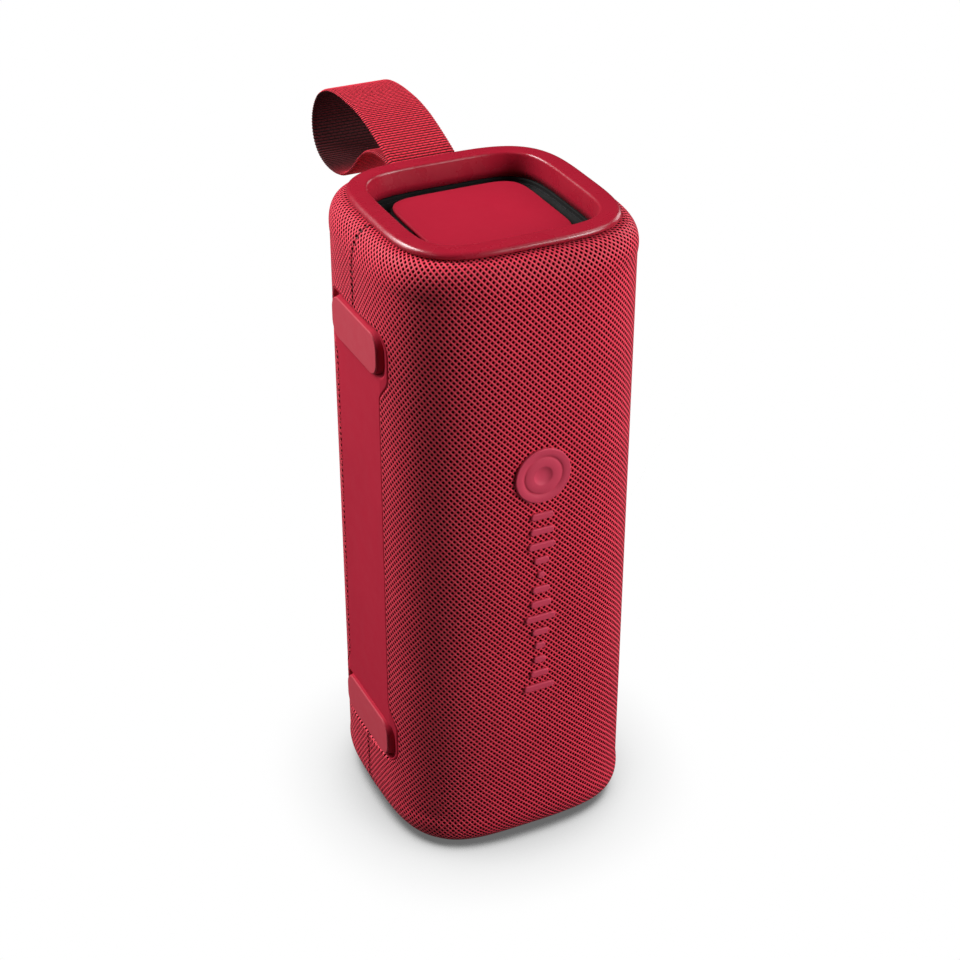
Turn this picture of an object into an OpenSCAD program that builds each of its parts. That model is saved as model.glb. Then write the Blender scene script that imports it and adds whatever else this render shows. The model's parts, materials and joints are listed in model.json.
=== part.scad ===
// Portable party speaker: a squared barrel in a knitted sleeve, with a ring and a
// moving radiator at each end, a foot strip down one long side, a key panel down
// the opposite side and a carry strap at the back of the upper end.
// Millimetres. +Z is the long axis and the lower ring stands on z = 0. The badge
// faces -Y, the foot strip -X, the key panel +X and the strap +Y.

/* [Body] */
// Width and depth across the flats of the sleeve
body_w = 93; // [92.5:0.5:94]
// Height over both end rings
body_h = 237; // [234:1:242]
// Squareness of the body's section: 2 is round, 8 is nearly square
body_square = 3; // [2.9:0.1:3.1]
// Height of the rounded shoulder at each end
shoulder_h = 12.2; // [11.8:0.1:12.4]
// How far the shoulder draws in at the ring
shoulder_in = 6.8; // [6.4:0.1:6.8]
// Thickness of the knitted sleeve
fabric_t = 1.2; // [1.1:0.1:1.2]

/* [End rings] */
// Half width of the ring's flange
ring_half = 39.75; // [39.5:0.25:40]
// Squareness of the ring
ring_square = 3.7; // [3.5:0.1:3.9]
// Thickness of the flange over the sleeve
ring_t = 2.5; // [2.4:0.1:2.6]
// Half width of the opening at the outer end
opening_half = 32.45; // [32.4:0.05:32.6]
// Squareness of the opening
opening_square = 4.6; // [4.4:0.1:4.8]

/* [Radiators] */
// Half width of the radiator's plate
plate_half = 24.6; // [24:0.2:25]
// Squareness of the plate
plate_square = 6; // [5:0.5:7]
// Depth of the plate below the ring's outer end
plate_depth = 7; // [7:0.1:7.2]
// Height of the weight behind the plate
mass_t = 5; // [4:0.5:6]

/* [Drivers] */
// Radius of a driver's flange
driver_r = 30; // [29.5:0.25:30]
// Distance between the two drivers' centres
driver_pitch = 93; // [88:1:100]
// Overall depth of a driver behind its flange
driver_depth = 30; // [29:0.5:32]

/* [Foot strip] */
// Length of the strip and of its pads together
strip_l = 175; // [170:1:180]
// Width of the strip between the pads
strip_w = 36; // [34:0.5:37]
// Distance of the strip's flat from the body's axis
strip_x = 45.6; // [45.4:0.1:45.7]
// Width of a foot pad
pad_w = 37.4; // [36:0.2:38]
// Length of a foot pad
pad_l = 14.6; // [13.8:0.2:14.8]
// Height of a pad above the strip
pad_rise = 1.2; // [0.9:0.1:1.6]
// Width of the strip where it flares out round a pad
flare_w = 44.4; // [43:0.2:45]
// Length of a flare
flare_l = 20.5; // [20:0.5:21]

/* [Badge] */
// Diameter of the disc
badge_d = 20.4; // [18:0.2:22]
// Height of the disc's centre
badge_z = 156; // [154:1:158]
// How far the badge stands off the sleeve
badge_t = 0.9; // [0.6:0.1:1.1]
// Number of bars below the disc
bar_count = 13; // [9:2:13]
// Distance between bars
bar_pitch = 5.9; // [5.4:0.1:6]

/* [Key panel] */
// Length of the panel
panel_l = 130; // [128:1:136]
// Width of the panel
panel_w = 22; // [21:0.5:23]
// Diameter of a key
key_d = 12.8; // [12:0.2:13]
// Distance between keys
key_pitch = 24; // [23:0.5:25]
// Travel of a key
key_travel = 0.8; // [0.6:0.1:0.8]

/* [Port] */
// Height of the port's centre
port_z = 55; // [53:1:57]
// Width of the port's frame
port_w = 33; // [32:0.5:34]
// Height of the port's frame
port_h = 19; // [19:0.5:20]

/* [Strap] */
// Width of the webbing
strap_w = 25; // [24:0.5:25.5]
// Thickness of the webbing
strap_t = 1.4; // [1.2:0.1:1.5]

/* [Hidden] */

$fn = 48;
seg = 72;                  // points round a squared section
steps = 8;                 // rings down a shoulder
gap = 0.1;                 // clearance between fixed pieces
mid_z = body_h / 2;
half = body_w / 2;
core_half = half - fabric_t - gap;      // outside of the grille core
shell_half = core_half - 2.2;           // outside of the cabinet shell
shell_t = 2.6;
shell_in = shell_half - shell_t;
straight_d = ring_t + shoulder_h;       // depth at which the sides run straight
frame_d0 = ring_t + fabric_t + gap;     // outer end of an end frame
frame_d1 = 18;                          // inner end, on the cabinet shell
ledge_d = 10.3;                         // ledge that carries the radiator's rim
skirt_d = 8.7;                          // inner end of the ring's skirt
skirt_half = 35;
frame_bore = 31;
screw_at = 29.3;                        // corner screws, along X and along Y
plate_t = 1.6;
radiator_travel = 3;
cone_travel = 2;
baffle_y = 35;                          // front of the baffle
baffle_t = 4;
flange_t = 1.5;
driver_y = baffle_y + flange_t;         // front of a driver's flange
driver_low_z = mid_z - driver_pitch / 2;
driver_high_z = mid_z + driver_pitch / 2;
panel_x = half - 0.6;                   // outside of the key panel
panel_t = 2.6;
key_board_x = shell_in + 0.3;
port_y = half - 0.2;                    // outside of the port's frame
hinge_y = port_y - 1;                   // axis of the port cover
hinge_z = port_z - 6.7;
board_y = 36;                           // outer face of the main board
cell_r = 9.25;
cell_l = 65;
cell_y = 22;
cell_z = 124.5;
pin_y = 40;                             // strap pin, in the upper frame
pin_z = body_h - 9.4;
swing_y = 46.3;                         // axis the strap swings on
swing_z = body_h - 5.9;

red = "#b32a3c";
deep_red = "#9c2133";
pale_red = "#c05565";
black = "#17171a";
dark_grey = "#34363a";
steel = "#a9adb3";
green = "#1d5a3a";

// ---- sections and solids shared by the pieces ----

function spow(v, p) = sign(v) * pow(abs(v), p);

// Squared circle: |x/h|^n + |y/h|^n = 1
function squircle(h, n) =
    [for (i = [0 : seg - 1]) let (a = 360 * i / seg)
        h * [spow(cos(a), 2 / n), spow(sin(a), 2 / n)]];

module slab(h, n, z0, z1) {
    translate([0, 0, z0]) linear_extrude(z1 - z0) polygon(squircle(h, n));
}

// Tube with squared inside and outside
module tube(h_out, n_out, h_in, n_in, z0, z1) {
    translate([0, 0, z0]) linear_extrude(z1 - z0) difference() {
        polygon(squircle(h_out, n_out));
        polygon(squircle(h_in, n_in));
    }
}

// Solid through squared sections, each given as [z, half width, squareness]
module loft(rings) {
    points = [for (r = rings) for (p = squircle(r[1], r[2])) [p.x, p.y, r[0]]];
    top = (len(rings) - 1) * seg;
    sides = [for (j = [0 : len(rings) - 2]) for (i = [0 : seg - 1])
        let (a = j * seg + i, b = j * seg + (i + 1) % seg)
        each [[a, a + seg, b + seg], [a, b + seg, b]]];
    polyhedron(points, concat([[for (i = [0 : seg - 1]) i]],
                              [[for (i = [seg - 1 : -1 : 0]) top + i]], sides));
}

// Sections down one shoulder, by depth from the end
function shoulder(h, inset, d0, height) =
    [for (i = [0 : steps]) let (a = 90 * (1 - i / steps))
        [d0 + height * (1 - sin(a)), h - inset * (1 - cos(a)),
         body_square + (ring_square - body_square) * sin(a)]];

// Barrel with a shoulder at each end, offset inwards from the sleeve's outside,
// after any narrower sections given for its ends
module barrel(inset, ends = []) {
    low = concat(ends, shoulder(half - inset, shoulder_in, ring_t + inset,
                                shoulder_h - inset));
    high = [for (i = [len(low) - 1 : -1 : 0])
        [body_h - low[i][0], low[i][1], low[i][2]]];
    loft(concat(low, high));
}

// Stands a piece made for the lower end at the upper end too
module at_upper() { translate([0, 0, body_h]) mirror([0, 0, 1]) children(); }

// Flat outlines, extruded along X or along Y
module along_x(x0, x1) {
    translate([x0, 0, 0]) rotate([90, 0, 90]) linear_extrude(x1 - x0) children();
}

module along_y(y0, y1) {
    translate([0, y1, 0]) rotate([90, 0, 0]) linear_extrude(y1 - y0) children();
}

module rounded(w, h, r) {
    square([w - 2 * r, h], center = true);
    square([w, h - 2 * r], center = true);
    for (x = [-1, 1], y = [-1, 1])
        translate([x * (w / 2 - r), y * (h / 2 - r)]) circle(r);
}

module corners(at) {
    for (x = [-at, at], y = [-at, at]) translate([x, y, 0]) children();
}

// ---- outlines of what sits in the sleeve's windows ----

module strip_outline(grow = 0) {
    translate([0, mid_z]) {
        rounded(strip_w + 2 * grow, strip_l + 2 * grow, 6);
        for (s = [-1, 1]) translate([0, s * (strip_l - flare_l) / 2])
            rounded(flare_w + 2 * grow, flare_l + 2 * grow, 7.5);
    }
}

module pad_outline(s, grow = 0) {
    translate([0, mid_z + (s > 0 ? 77.9 : -78.6)])
        rounded(pad_w + 2 * grow, pad_l + 2 * grow, 5.5 + grow);
}

module panel_outline(grow = 0) {
    translate([0, mid_z])
        rounded(panel_w + 2 * grow, panel_l + 2 * grow, panel_w / 2 - 0.5 + grow);
}

module port_outline(grow = 0) {
    translate([0, port_z]) rounded(port_w + 2 * grow, port_h + 2 * grow, 4 + grow);
}

// Windows through the sleeve and the grille core
module windows() {
    along_x(-half - 2, -shell_half + 1.5) strip_outline(0.2);
    along_x(shell_half - 1.5, half + 2) panel_outline(0.2);
    along_y(shell_half - 1.5, half + 2) port_outline(0.2);
}

// ---- sleeve, core and cabinet ----

module fabric_sleeve() {
    // mouth of the hem, which lies flat under the ring's flange
    mouth = [for (d = [ring_t - 0.5, ring_t + fabric_t - 0.05])
        [d, skirt_half + 0.5, 4.2]];
    color(red) difference() {
        barrel(0);
        barrel(fabric_t, mouth);
        windows();
        strap_passage();
    }
}

// Slots in front of a driver, in rows that follow its round
module driver_slots() {
    for (i = [-4 : 4]) let (w = 2 * sqrt(pow(27, 2) - pow(i * 6, 2)))
        translate([0, i * 6]) rounded(w, 3, 1.4);
}

module grille_core() {
    color(dark_grey) difference() {
        tube(core_half, body_square, core_half - 1.9, body_square,
             frame_d1, body_h - frame_d1);
        windows();
        for (z = [driver_low_z, driver_high_z])
            along_y(-half, -30) translate([0, z]) driver_slots();
    }
}

module cabinet_shell() {
    z0 = frame_d1;
    z1 = body_h - frame_d1;
    color(black) difference() {
        union() {
            tube(shell_half, body_square, shell_in, body_square, z0, z1);
            intersection() {
                slab(shell_half - 1, body_square, z0, z1);
                union() {
                    translate([0, 0, z0]) corners(screw_at) cylinder(h = 12, r = 4.2);
                    translate([0, 0, z1 - 12]) corners(screw_at) cylinder(h = 12, r = 4.2);
                    // cross ribs that close the front above and below the baffle
                    for (z = [z0 + 4, z1 - 10]) translate([-38, -30, z])
                        cube([76, 4, 6]);
                    // bridges that carry the key board
                    for (z = [mid_z - 57, mid_z + 54])
                        translate([shell_in - 1.8, -13, z]) cube([2, 26, 3]);
                    // posts for the main board
                    board_posts();
                }
            }
        }
        // flat front that carries the baffle
        translate([-half, -half, z0 + 8]) cube([body_w, half - 30, z1 - z0 - 16]);
        // window behind the key panel
        translate([shell_in + 0.2, -10, mid_z - 58]) cube([6, 20, 116]);
        // socket opening
        along_y(30, half) translate([0, port_z]) rounded(10, 4.4, 2.1);
        // screw holes
        for (z = [z0 - 1, z1 - 11.5]) translate([0, 0, z])
            corners(screw_at) cylinder(h = 12.5, r = 1.35);
        baffle_holes(-31, -25, 1.3);
        board_holes(0.9);
        strip_pegs(0.1);
    }
}

module strip_pegs(grow) {
    for (z = [mid_z - 50, mid_z + 50])
        along_x(-shell_half - 2, -shell_half + 2.2) translate([0, z]) circle(1.8 + grow);
}

// ---- end frames, rings and radiators, made for the lower end ----

module frame_solid() {
    difference() {
        intersection() {
            barrel(fabric_t + gap);
            translate([-half, -half, frame_d0]) cube([body_w, body_w, frame_d1 - frame_d0]);
        }
        slab(skirt_half + 0.3, 4.2, 0, ledge_d);
        slab(frame_bore, opening_square, 0, frame_d1 + 1);
        corners(screw_at) translate([0, 0, ledge_d - 1]) cylinder(h = 4, r = 2.8);
        corners(screw_at) translate([0, 0, ledge_d]) cylinder(h = 10, r = 1.4);
    }
}

module lower_end_frame() { color(dark_grey) frame_solid(); }

module upper_end_frame() {
    color(dark_grey) difference() {
        at_upper() frame_solid();
        strap_passage();
        along_x(-17, 17) translate([pin_y, pin_z]) circle(1.55);
    }
}

module ring_solid() {
    difference() {
        union() {
            slab(ring_half - 0.8, ring_square, 0, 0.8);
            slab(ring_half, ring_square, 0.8, ring_t);
            slab(skirt_half, 4.2, ring_t, skirt_d);
        }
        slab(opening_half, opening_square, -1, ring_t);
        slab(opening_half - 0.6, opening_square, -1, skirt_d + 1);
    }
}

module lower_end_ring() { color(red) ring_solid(); }
module upper_end_ring() { color(red) at_upper() ring_solid(); }

module plate_solid() {
    slab(plate_half - 0.4, plate_square, plate_depth, plate_depth + 0.4);
    slab(plate_half, plate_square, plate_depth + 0.4, plate_depth + plate_t);
}

module lower_radiator_plate() { color(deep_red) plate_solid(); }
module upper_radiator_plate() { color(deep_red) at_upper() plate_solid(); }

module weight_solid() {
    slab(19.5, plate_square, plate_depth + plate_t, plate_depth + plate_t + mass_t);
}

module lower_radiator_weight() { color(steel) weight_solid(); }
module upper_radiator_weight() { color(steel) at_upper() weight_solid(); }

// Rubber rim: flat inner land under the plate, a roll, and a clamped outer land
module surround_solid() {
    tube(25.2, opening_square, 20, plate_square, plate_depth + plate_t, 9.9);
    difference() {
        loft([[8.8, 25.2, 5], [10.5, 26.6, 4.8], [12.2, 27.2, 4.7], [12.6, 27.4, 4.7]]);
        slab(24, 5, 8, 14);
    }
    tube(30.8, opening_square, 26.6, opening_square, 11.6, 12.6);
    tube(skirt_half - 0.2, 4.2, 29.8, opening_square, skirt_d, ledge_d);
    tube(30.8, opening_square, 29.8, opening_square, ledge_d, 12.6);
}

module lower_radiator_surround() { color(black) surround_solid(); }
module upper_radiator_surround() { color(black) at_upper() surround_solid(); }

module screw(head_r, head_h, shank_r, shank_l) {
    cylinder(h = head_h, r = head_r);
    translate([0, 0, head_h]) cylinder(h = shank_l, r = shank_r);
}

module end_frame_screws() {
    color(steel) {
        corners(screw_at) translate([0, 0, ledge_d + 0.4]) screw(2.5, 2.6, 1.25, 12);
        at_upper() corners(screw_at)
            translate([0, 0, ledge_d + 0.4]) screw(2.5, 2.6, 1.25, 12);
    }
}

// ---- baffle and drivers ----

module baffle_plan(margin, z_margin) {
    difference() {
        translate([0, mid_z]) square([76, body_h - 2 * frame_d1 - 16 - z_margin], center = true);
        for (z = [driver_low_z, driver_high_z]) translate([0, z]) circle(26.9 + margin);
    }
}

// Screws stand between and beyond the two drivers
module baffle_holes(y0, y1, r) {
    for (x = [-24, 24], z = [frame_d1 + 11.5, mid_z, body_h - frame_d1 - 11.5])
        along_y(y0, y1) translate([x, z]) circle(r);
}

module front_baffle() {
    color(dark_grey) difference() {
        intersection() {
            along_y(-baffle_y, -baffle_y + baffle_t) baffle_plan(0, 1);
            slab(shell_half - 0.1, body_square, 0, body_h);
        }
        baffle_holes(-half, 0, 1.6);
        driver_screw_places() cylinder(h = 20, r = 1.0, center = true);
    }
}

module baffle_gasket() {
    color(black) difference() {
        intersection() {
            along_y(-baffle_y + baffle_t, -30) difference() {
                baffle_plan(0, 1);
                translate([0, mid_z]) square([62, body_h - 2 * frame_d1 - 30], center = true);
            }
            slab(shell_half - 0.1, body_square, 0, body_h);
        }
        baffle_holes(-half, 0, 1.6);
    }
}

module baffle_screws() {
    color(steel) for (x = [-24, 24], z = [frame_d1 + 11.5, mid_z, body_h - frame_d1 - 11.5])
        translate([x, -baffle_y - 1.6, z]) rotate([-90, 0, 0]) screw(2.6, 1.6, 1.2, 9);
}

// A driver is made facing +Z with its flange's front on z = 0, then laid to face -Y
module face_front(z) { translate([0, -driver_y, z]) rotate([90, 0, 0]) children(); }

module driver_screw_places() {
    for (z = [driver_low_z, driver_high_z]) face_front(z)
        for (a = [45 : 90 : 315]) rotate(a) translate([28.2, 0, 0]) children();
}

module basket() {
    difference() {
        rotate_extrude() polygon([[driver_r, 0], [driver_r, -flange_t], [26.4, -flange_t],
            [26.4, -4], [19.5, -16.4], [9, -16.4], [9, -15.2], [17, -15.2], [17, -13.2],
            [19, -13.2], [25.2, -3.6], [25.2, 0]]);
        for (a = [0 : 60 : 300]) rotate(a + 30) translate([22, 0, -9])
            cube([16, 9, 9], center = true);
        for (a = [45 : 90 : 315]) rotate(a)
            translate([28.2, 0, -flange_t - 1]) cylinder(h = 4, r = 1.15);
    }
}

module magnet() {
    difference() {
        union() {
            translate([0, 0, -18.4]) cylinder(h = 2, r = 15);
            translate([0, 0, -driver_depth + 2]) cylinder(h = driver_depth - 20.4, r = 16);
            translate([0, 0, -driver_depth]) cylinder(h = 2, r = 15);
        }
        translate([0, 0, -driver_depth + 2]) cylinder(h = driver_depth, r = 7.1);
    }
    translate([0, 0, -driver_depth + 1]) cylinder(h = driver_depth - 18.4, r = 5.6);
}

module cone() {
    rotate_extrude() polygon([[6.65, -11.6], [7.3, -11.6], [14, -8.4], [22, -2.6],
        [23.4, -2.2], [23.4, -1.6], [21.6, -1.8], [13.6, -7.5], [8.2, -10],
        [7.6, -7.6], [5.6, -5.9], [3, -5], [0, -4.7], [0, -5.4], [2.8, -5.7],
        [5.2, -6.6], [6.65, -8.4]]);
}

module voice_coil() {
    difference() {
        translate([0, 0, -22]) cylinder(h = 13.4, r = 6.6);
        translate([0, 0, -23]) cylinder(h = 16, r = 6.15);
    }
}

module cone_surround() {
    rotate_extrude() polygon(concat([[22.3, -1.6]],
        [for (a = [180 : -20 : 0]) [24 + 1.5 * cos(a), 1.5 * sin(a)]],
        [[26.4, 0], [26.4, 0.5]],
        [for (a = [20 : 20 : 180]) [24 + 2 * cos(a), 2 * sin(a)]],
        [[21.9, -1.2]]));
}

module spider() {
    rotate_extrude() polygon([[6.65, -12.8], [9, -12.2], [11, -12.9], [13, -12.2], [15, -12.9],
        [16.9, -12.6], [16.9, -13.0], [15, -13.3], [13, -12.6], [11, -13.3], [9, -12.6],
        [6.65, -13.2]]);
}

module lower_driver_basket() { color(steel) face_front(driver_low_z) basket(); }
module upper_driver_basket() { color(steel) face_front(driver_high_z) basket(); }
module lower_driver_magnet() { color(dark_grey) face_front(driver_low_z) magnet(); }
module upper_driver_magnet() { color(dark_grey) face_front(driver_high_z) magnet(); }
module lower_driver_cone() { color(black) face_front(driver_low_z) cone(); }
module upper_driver_cone() { color(black) face_front(driver_high_z) cone(); }
module lower_voice_coil() { color("#b4632d") face_front(driver_low_z) voice_coil(); }
module upper_voice_coil() { color("#b4632d") face_front(driver_high_z) voice_coil(); }
module lower_driver_surround() { color(black) face_front(driver_low_z) cone_surround(); }
module upper_driver_surround() { color(black) face_front(driver_high_z) cone_surround(); }
module lower_driver_spider() { color("#c8a45a") face_front(driver_low_z) spider(); }
module upper_driver_spider() { color("#c8a45a") face_front(driver_high_z) spider(); }

module driver_screws() {
    color(steel) driver_screw_places() {
        cylinder(h = 1, r = 1.7);
        translate([0, 0, -4.5]) cylinder(h = 4.5, r = 0.9);
    }
}

// ---- foot strip and pads ----

module foot_strip() {
    color(red) {
        difference() {
            intersection() {
                along_x(-strip_x - 1, -shell_half - 0.3) strip_outline();
                slab(half + 0.1, body_square, 0, body_h);
            }
            along_x(-half - 2, -strip_x) translate([0, mid_z])
                square([strip_w + 0.4, strip_l], center = true);
            for (s = [-1, 1]) along_x(-half - 2, -strip_x + 1.4) pad_outline(s, 1);
        }
        strip_pegs(0);
    }
}

module pad(s) {
    along_x(-strip_x - pad_rise, -strip_x + 1.4) pad_outline(s);
    along_x(-strip_x - pad_rise + 0.5, -strip_x + 1.4) pad_outline(s, 0.25);
}

module upper_foot_pad() { color(pale_red) pad(1); }
module lower_foot_pad() { color(pale_red) pad(-1); }

// ---- badge: a disc with a cone drawn on it over a row of level bars ----

function bar_w(i) = 7 + 3.4 * sin(i * 67) + 1.4 * cos(i * 151);
function bar_z(i) = badge_z - 15.6 - i * bar_pitch;

// Both are bonded to the sleeve
module badge_disc() {
    y = -half - 0.05;
    color(red) difference() {
        along_y(y - badge_t, y) translate([0, badge_z]) circle(badge_d / 2);
        along_y(y - badge_t - 1, y - badge_t + 0.4) translate([0, badge_z]) {
            difference() { circle(7.4); circle(6.4); }
            circle(2.6);
        }
    }
}

module badge_bars() {
    y = -half - 0.05;
    color(red) for (i = [0 : bar_count - 1]) translate([0, 0, bar_z(i)])
        along_y(y - badge_t, y) rounded(bar_w(i), 2.6, 1.25);
}

// ---- key panel ----

function key_z(i) = mid_z + i * key_pitch;

module light_places() {
    for (y = [-5 : 2.5 : 5]) translate([y, mid_z - panel_l / 2 + 4.6]) children();
}

module key_panel() {
    color(red) difference() {
        intersection() {
            along_x(panel_x - panel_t, panel_x) panel_outline();
            slab(half + 0.1, body_square, 0, body_h);
        }
        for (i = [-2 : 2]) {
            along_x(30, half + 1) translate([0, key_z(i)]) circle(key_d / 2 + 0.35);
            along_x(30, panel_x - 1.3) translate([0, key_z(i)]) circle(key_d / 2 + 1.5);
        }
        along_x(30, half + 1) light_places() circle(0.75);
    }
}

module key(i) {
    color(deep_red) {
        along_x(panel_x - 1.7, panel_x + 1) translate([0, key_z(i)]) circle(key_d / 2);
        along_x(shell_half + 0.35, panel_x - 1.7)
            translate([0, key_z(i)]) circle(key_d / 2 + 1.1);
    }
}

module power_key() { key(-2); }
module pairing_key() { key(-1); }
module volume_down_key() { key(0); }
module play_key() { key(1); }
module volume_up_key() { key(2); }

module status_lights() {
    color("white") along_x(panel_x - 2.2, panel_x + 0.1) light_places() circle(0.65);
}

module key_board() {
    color(green) translate([key_board_x, -9.4, mid_z - 57]) cube([1, 18.8, 114]);
}

module key_switches() {
    color(steel) for (i = [-2 : 2]) translate([key_board_x + 1, 0, key_z(i)]) {
        translate([0, -3, -3]) cube([0.5, 6, 6]);
        rotate([0, 90, 0]) cylinder(h = 0.7, r = 1.5);
    }
}

// ---- port ----

module port_frame() {
    color(deep_red) difference() {
        intersection() {
            along_y(shell_half + 0.3, port_y) port_outline();
            slab(half + 0.1, body_square, 0, body_h);
        }
        along_y(shell_half - 1, half + 1) translate([0, port_z + 0.35]) rounded(27, 11.9, 3);
        // notch for the cover's hinge
        along_y(port_y - 2, half + 1) translate([0, hinge_z - 0.4]) square([15, 3.2], center = true);
    }
}

module port_cover() {
    color(deep_red) {
        along_y(port_y - 1.6, port_y - 0.4) translate([0, port_z + 0.35]) rounded(26.2, 11.1, 2.8);
        along_x(-6.5, 6.5) translate([hinge_y, hinge_z]) circle(0.7);
        translate([-6.5, hinge_y - 0.4, hinge_z]) cube([13, 0.8, 2]);
    }
}

module usb_socket() {
    color(steel) difference() {
        along_y(board_y, shell_half + 1) translate([0, port_z]) rounded(9, 3.3, 1.6);
        along_y(board_y + 1.4, half) translate([0, port_z]) rounded(8.4, 2.7, 1.3);
    }
}

module board_posts() {
    for (x = [-20, 20], z = [port_z - 25, port_z + 27])
        along_y(board_y, shell_half) translate([x, z]) circle(2.6);
}

module board_holes(r) {
    for (x = [-20, 20], z = [port_z - 25, port_z + 27])
        along_y(20, board_y + 2.4) translate([x, z]) circle(r);
}

module main_board() {
    color(green) difference() {
        along_y(board_y - 1.6, board_y) translate([0, port_z + 1]) rounded(50, 62, 2);
        board_holes(1.1);
    }
}

module board_parts() {
    y = board_y - 1.6;
    color(dark_grey) {
        translate([-12, y - 1.2, port_z - 4]) cube([9, 1.2, 9]);
        translate([4, y - 1, port_z - 16]) cube([6, 1, 6]);
        translate([4, y - 3, port_z + 4]) cube([7, 3, 7]);
        for (z = [-22, -14]) translate([-14, y, port_z + z]) rotate([90, 0, 0])
            cylinder(h = 7, r = 3);
        translate([-5, y - 4, port_z + 22]) cube([10, 4, 6]);
    }
}

// ---- battery ----

module cell_places() { for (x = [-9.6, 9.6]) translate([x, cell_y, cell_z]) children(); }

module battery_cells() {
    color("#3f7d8c") cell_places() {
        cylinder(h = cell_l, r = cell_r, center = true);
        translate([0, 0, cell_l / 2]) cylinder(h = 0.8, r = 2.6);
    }
}

module battery_tray() {
    color(black) difference() {
        union() {
            translate([-20.5, cell_y + 2, cell_z - 34.6]) cube([41, 9.4, 70]);
            for (z = [-34.6, 33.4]) translate([-20.5, cell_y - 7, cell_z + z])
                cube([41, 12, 2]);
            for (z = [-24, 24]) translate([0, cell_y + 10, cell_z + z])
                rotate([-90, 0, 0]) cylinder(h = shell_in - cell_y - 10.3, r = 4);
        }
        cell_places() cylinder(h = cell_l + 1.8, r = cell_r + 0.15, center = true);
        translate([-22, cell_y + 1, cell_z - 8.3]) cube([44, 1.9, 16.6]);
    }
}

// Woven band over the two cells
module battery_band() {
    color(black) translate([0, 0, cell_z - 8]) linear_extrude(16) difference() {
        translate([0, cell_y]) intersection() {
            rounded(2 * (9.6 + cell_r) + 1.6, 2 * cell_r + 1.6, cell_r + 0.6);
            translate([-30, -30]) square([60, 31.9]);
        }
        translate([0, cell_y]) rounded(2 * (9.6 + cell_r) + 0.2, 2 * cell_r + 0.2, cell_r);
    }
}

// Insulated wire through a few points
module wire(points, d) {
    for (i = [0 : len(points) - 2]) hull() {
        translate(points[i]) sphere(d / 2, $fn = 10);
        translate(points[i + 1]) sphere(d / 2, $fn = 10);
    }
}

module battery_lead() {
    y = board_y - 4;
    color("#c22") for (x = [-1.2, 1.2])
        wire([[x, y - 0.4, port_z + 29], [x, y - 1, port_z + 32], [x, 10, cell_z - 44],
              [x, 8, cell_z - 38], [x * 4, 9.6, cell_z - 37]], 1.4);
}

module driver_leads() {
    y = -driver_y + 17.6;
    color("#555") for (z = [driver_low_z, driver_high_z], x = [-1.2, 1.2])
        wire([[x + 20, y, z], [x + 26.5, y + 10, z], [x + 26.5, 12, z - (z - port_z) * 0.5],
              [x + 18, 28, port_z + 10], [x + 14, board_y - 2.6, port_z + 8]], 1.2);
}

// ---- strap ----

// Centre line of the webbing in the YZ plane, out along the top and back below
strap_path = [[47.9, 232.7], [51.5, 234], [57, 236], [63, 238], [70, 239.9],
    [78, 241.2], [86, 241.6], [94, 241.5], [102, 240.6], [109, 238.4], [115, 235],
    [119.4, 230.2], [122, 224.6], [122.3, 219], [120.4, 214.4], [116.4, 211.2],
    [110, 209.5], [103, 209.5], [96, 210.8], [89, 214], [83, 218.4], [77, 224],
    [71, 228.2], [64, 230.9], [57, 231.8], [51.5, 231.4], [48.6, 230.7]];

// Smooth curve through the points, with k steps between each pair
function smooth(p, k) = let (n = len(p) - 1) concat([for (i = [0 : n - 1])
    let (a = p[max(i - 1, 0)], b = p[i], c = p[i + 1], d = p[min(i + 2, n)])
    for (j = [0 : k - 1]) let (t = j / k)
        0.5 * (2 * b + t * (c - a) + t * t * (2 * a - 5 * b + 4 * c - d)
               + t * t * t * (3 * b - a - 3 * c + d))], [p[n]]);

// Both edges of a band of thickness t along an open path
function band(p, t) = let (n = len(p) - 1,
    side = [for (i = [0 : n]) let (d = p[min(i + 1, n)] - p[max(i - 1, 0)])
        [-d.y, d.x] * t / 2 / norm(d)])
    concat([for (i = [0 : n]) p[i] + side[i]], [for (i = [n : -1 : 0]) p[i] - side[i]]);

module strap_loop() {
    color(red) difference() {
        union() {
            along_x(-strap_w / 2, strap_w / 2)
                polygon(band(smooth(strap_path, 3), strap_t));
            // the two plies sewn together next to the body
            along_x(-strap_w / 2, strap_w / 2) translate([swing_y, swing_z])
                rotate(20) translate([0, -strap_t - 0.1]) square([6.4, 2 * strap_t + 0.2]);
        }
        along_x(-strap_w, strap_w) translate([swing_y, swing_z]) circle(strap_t + 0.5);
    }
}

module tail_line() {
    a = atan2(swing_z - pin_z, swing_y - pin_y);
    translate([pin_y, pin_z]) rotate(a) children();
}

// Fixed end: round the pin and out through the slot, ending in a round edge
module strap_tail() {
    l = norm([swing_z - pin_z, swing_y - pin_y]);
    color(red) along_x(-strap_w / 2, strap_w / 2) difference() {
        union() {
            translate([pin_y, pin_z]) circle(3);
            tail_line() translate([0, -strap_t]) square([l, 2 * strap_t]);
            translate([swing_y, swing_z]) circle(strap_t);
        }
        translate([pin_y, pin_z]) circle(1.6);
    }
}

module strap_pin() {
    color(steel) along_x(-16.8, 16.8) translate([pin_y, pin_z]) circle(1.5);
}

// Pocket in the frame and slot through the sleeve for the strap's fixed end
module strap_passage() {
    along_x(-strap_w / 2 - 0.6, strap_w / 2 + 0.6) {
        translate([pin_y, pin_z]) circle(3.4);
        tail_line() translate([0, -strap_t - 0.4]) square([12, 2 * strap_t + 0.8]);
    }
}

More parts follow.
